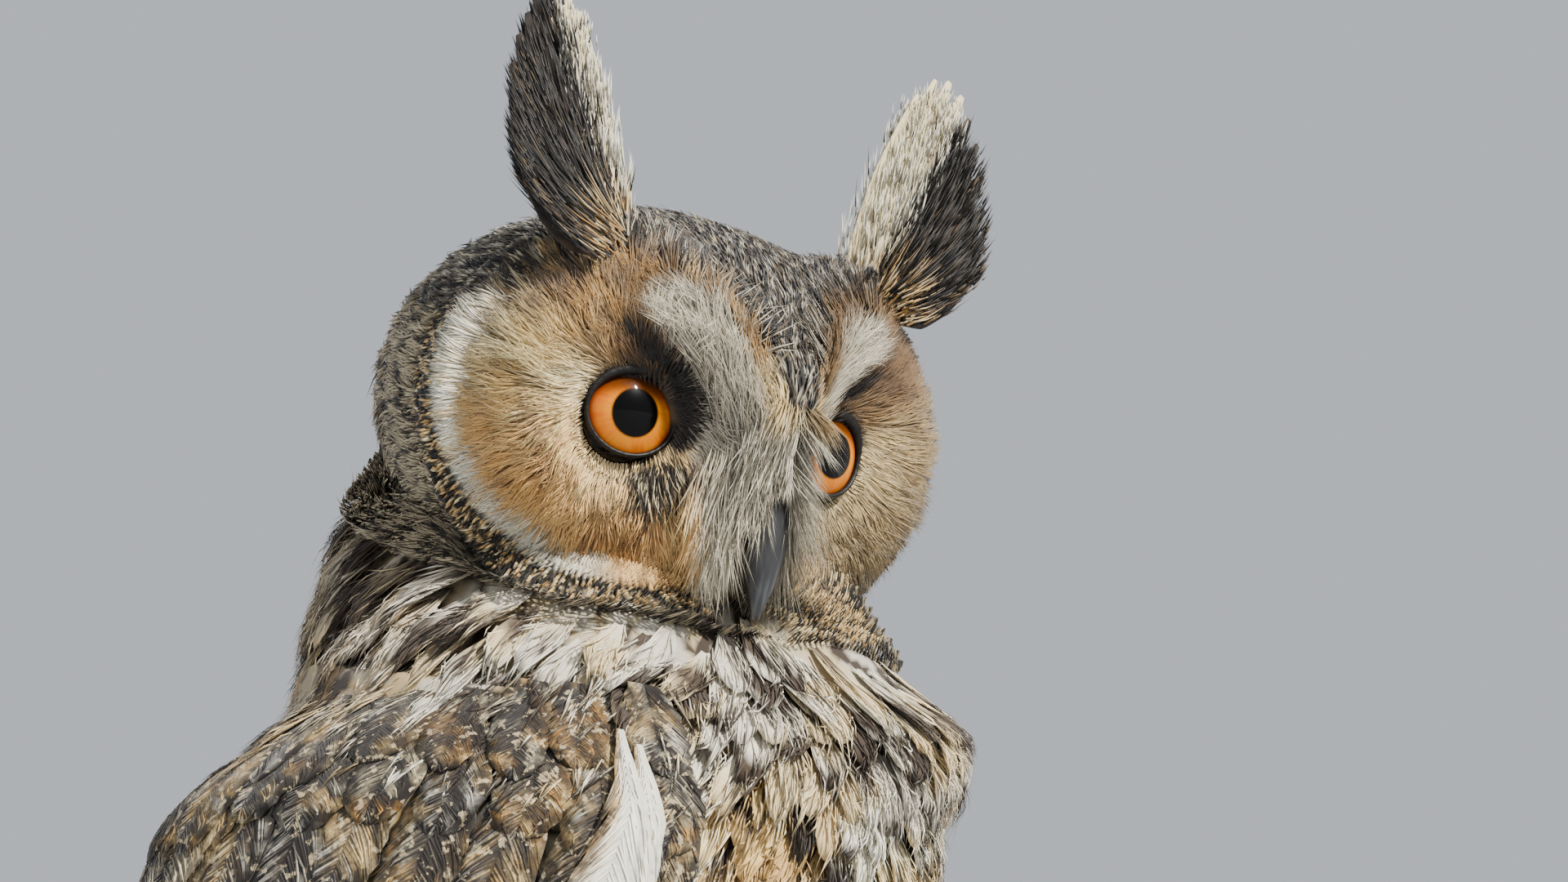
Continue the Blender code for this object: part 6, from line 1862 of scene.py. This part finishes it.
class OWL_OT_skin(bpy.types.Operator):
    """Skin of head, body, wings, legs and toes in one piece, inside the coat"""
    bl_idname = "owl.skin"
    bl_label = "Skin"

    def execute(self, context):
        skin = make_skin()
        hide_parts("head", "neck", "torso", "leg_left", "leg_right", "foot_left", "foot_right")
        return {"FINISHED"}


class OWL_OT_eyes(bpy.types.Operator):
    """Eyeballs and lids"""
    bl_idname = "owl.eyes"
    bl_label = "Eyes"

    def execute(self, context):
        make_eyes()
        return {"FINISHED"}


class OWL_OT_bill(bpy.types.Operator):
    """Upper and lower bill"""
    bl_idname = "owl.bill"
    bl_label = "Bill"

    def execute(self, context):
        make_bill()
        return {"FINISHED"}


class OWL_OT_face(bpy.types.Operator):
    """Strands of the facial disc, brows and bristles"""
    bl_idname = "owl.face"
    bl_label = "Face"

    def execute(self, context):
        make_face(context.scene.owl_plumage)
        return {"FINISHED"}


class OWL_OT_crown(bpy.types.Operator):
    """Ruff, crown, nape and chin"""
    bl_idname = "owl.crown"
    bl_label = "Ruff and crown"

    def execute(self, context):
        make_rim_and_crown()
        return {"FINISHED"}


class OWL_OT_tufts(bpy.types.Operator):
    """Ear tufts"""
    bl_idname = "owl.tufts"
    bl_label = "Ear tufts"

    def execute(self, context):
        make_tufts()
        return {"FINISHED"}


class OWL_OT_body(bpy.types.Operator):
    """Feathers of neck, breast, belly and mantle"""
    bl_idname = "owl.body"
    bl_label = "Body plumage"

    def execute(self, context):
        make_body_plumage(context.scene.owl_plumage)
        return {"FINISHED"}


class OWL_OT_wings(bpy.types.Operator):
    """Flight feathers, coverts and scapulars"""
    bl_idname = "owl.wings"
    bl_label = "Wings"

    def execute(self, context):
        make_wings()
        return {"FINISHED"}


class OWL_OT_tail(bpy.types.Operator):
    """Tail feathers and their coverts"""
    bl_idname = "owl.tail"
    bl_label = "Tail"

    def execute(self, context):
        make_tail()
        return {"FINISHED"}


class OWL_OT_legs(bpy.types.Operator):
    """Soft feathers of legs and toes"""
    bl_idname = "owl.legs"
    bl_label = "Legs"

    def execute(self, context):
        make_leg_plumage()
        return {"FINISHED"}


class OWL_OT_claws(bpy.types.Operator):
    """Claws"""
    bl_idname = "owl.claws"
    bl_label = "Claws"

    def execute(self, context):
        make_claws()
        return {"FINISHED"}


class OWL_OT_perch(bpy.types.Operator):
    """Cut branch"""
    bl_idname = "owl.perch"
    bl_label = "Perch"

    def execute(self, context):
        make_perch()
        return {"FINISHED"}


class OWL_OT_stand(bpy.types.Operator):
    """Base and rods"""
    bl_idname = "owl.stand"
    bl_label = "Stand"

    def execute(self, context):
        make_stand()
        return {"FINISHED"}


class OWL_OT_stage(bpy.types.Operator):
    """Floor, lights and camera"""
    bl_idname = "owl.stage"
    bl_label = "Stage"

    def execute(self, context):
        make_stage(context.scene.owl_stage)
        return {"FINISHED"}


def placed(x, y, z, origin):
    """The matrix whose columns are three axes and an origin."""
    return Matrix([(x[i], y[i], z[i], origin[i]) for i in range(3)] + [(0, 0, 0, 1)])


def make_stage(settings):
    scene = bpy.context.scene
    mesh = bpy.data.meshes.new("floor")
    size = 30.0
    mesh.from_pydata([(-size, -size, 0), (size, -size, 0), (size, size, 0), (-size, size, 0)], [], [(0, 1, 2, 3)])
    floor = bpy.data.objects.new("floor", mesh)
    scene.collection.objects.link(floor)
    pale, _, _, shader = new_material("floor_paint", 0.8, 0.2)
    shader.inputs["Base Color"].default_value = (0.34, 0.35, 0.37, 1)
    mesh.materials.append(pale)
    world = bpy.data.worlds.new("studio")
    scene.world = world
    world.use_nodes = True
    sky = world.node_tree.nodes["Background"]
    sky.inputs["Color"].default_value = (0.74, 0.78, 0.84, 1)
    sky.inputs["Strength"].default_value = 0.75
    a, e = settings.azimuth, settings.elevation
    toward = np.array((math.sin(a) * math.cos(e), -math.cos(a) * math.cos(e), math.sin(e)))
    right = np.array((math.cos(a), math.sin(a), 0))
    up = np.cross(toward, right)
    up = up if up[2] > 0 else -up
    centre = HEAD_CENTRE + right * (960 - 790) * settings.pixel - up * (540 - 515) * settings.pixel
    camera = bpy.data.cameras.new("camera")
    view = bpy.data.objects.new("camera", camera)
    scene.collection.objects.link(view)
    camera.sensor_width = 36
    camera.lens = 36 * settings.distance / (1920 * settings.pixel)
    place = centre + toward * settings.distance
    view.matrix_world = placed(right, up, toward, place)
    scene.camera = view
    level = np.array((math.sin(a), -math.cos(a), 0))
    for name, direction, energy, angle, tint in (
        ("key", level * 0.62 + right * 0.66 + np.array((0, 0, 0.72)), 8.4, 5, (1.0, 0.96, 0.90)),
        ("fill", level * 0.8 - right * 0.8 + np.array((0, 0, 0.25)), 0.55, 40, (0.88, 0.94, 1.0)),
        ("back", -level * 0.8 + right * 0.2 + np.array((0, 0, 0.7)), 0.9, 25, (1.0, 0.98, 0.95)),
    ):
        lamp = bpy.data.lights.new(name, "SUN")
        lamp.energy = energy
        lamp.angle = math.radians(angle)
        lamp.color = tint
        lit = bpy.data.objects.new(name, lamp)
        scene.collection.objects.link(lit)
        z = unit(direction)
        x = unit(np.cross((0, 0, 1.0), z))
        y = np.cross(z, x)
        lit.matrix_world = placed(x, y, z, (0, 0, 2))


class OWL_PT_panel(bpy.types.Panel):
    """Pieces of the owl"""
    bl_label = "Owl"
    bl_idname = "OWL_PT_panel"
    bl_space_type = "VIEW_3D"
    bl_region_type = "UI"
    bl_category = "Owl"

    def draw(self, context):
        layout = self.layout
        for group in (context.scene.owl_colours, context.scene.owl_plumage, context.scene.owl_stage):
            box = layout.box()
            for name in group.__annotations__:
                box.prop(group, name)
        for piece in PIECES:
            layout.operator(piece.bl_idname)


PIECES = (
    OWL_OT_skin, OWL_OT_eyes, OWL_OT_bill, OWL_OT_face, OWL_OT_crown, OWL_OT_tufts, OWL_OT_body, OWL_OT_wings,
    OWL_OT_tail, OWL_OT_legs, OWL_OT_claws, OWL_OT_perch, OWL_OT_stand, OWL_OT_stage,
)
GROUPS = (OwlColours, OwlPlumage, OwlStage)


def register():
    for made in GROUPS + PIECES + (OWL_PT_panel,):
        bpy.utils.register_class(made)
    bpy.types.Scene.owl_colours = bpy.props.PointerProperty(type=OwlColours)
    bpy.types.Scene.owl_plumage = bpy.props.PointerProperty(type=OwlPlumage)
    bpy.types.Scene.owl_stage = bpy.props.PointerProperty(type=OwlStage)


def unregister():
    del bpy.types.Scene.owl_stage
    del bpy.types.Scene.owl_plumage
    del bpy.types.Scene.owl_colours
    for made in reversed(GROUPS + PIECES + (OWL_PT_panel,)):
        bpy.utils.unregister_class(made)


def main():
    register()
    for piece in PIECES:
        group, name = piece.bl_idname.split(".")
        getattr(getattr(bpy.ops, group), name)()


if __name__ == "__main__":
    main()
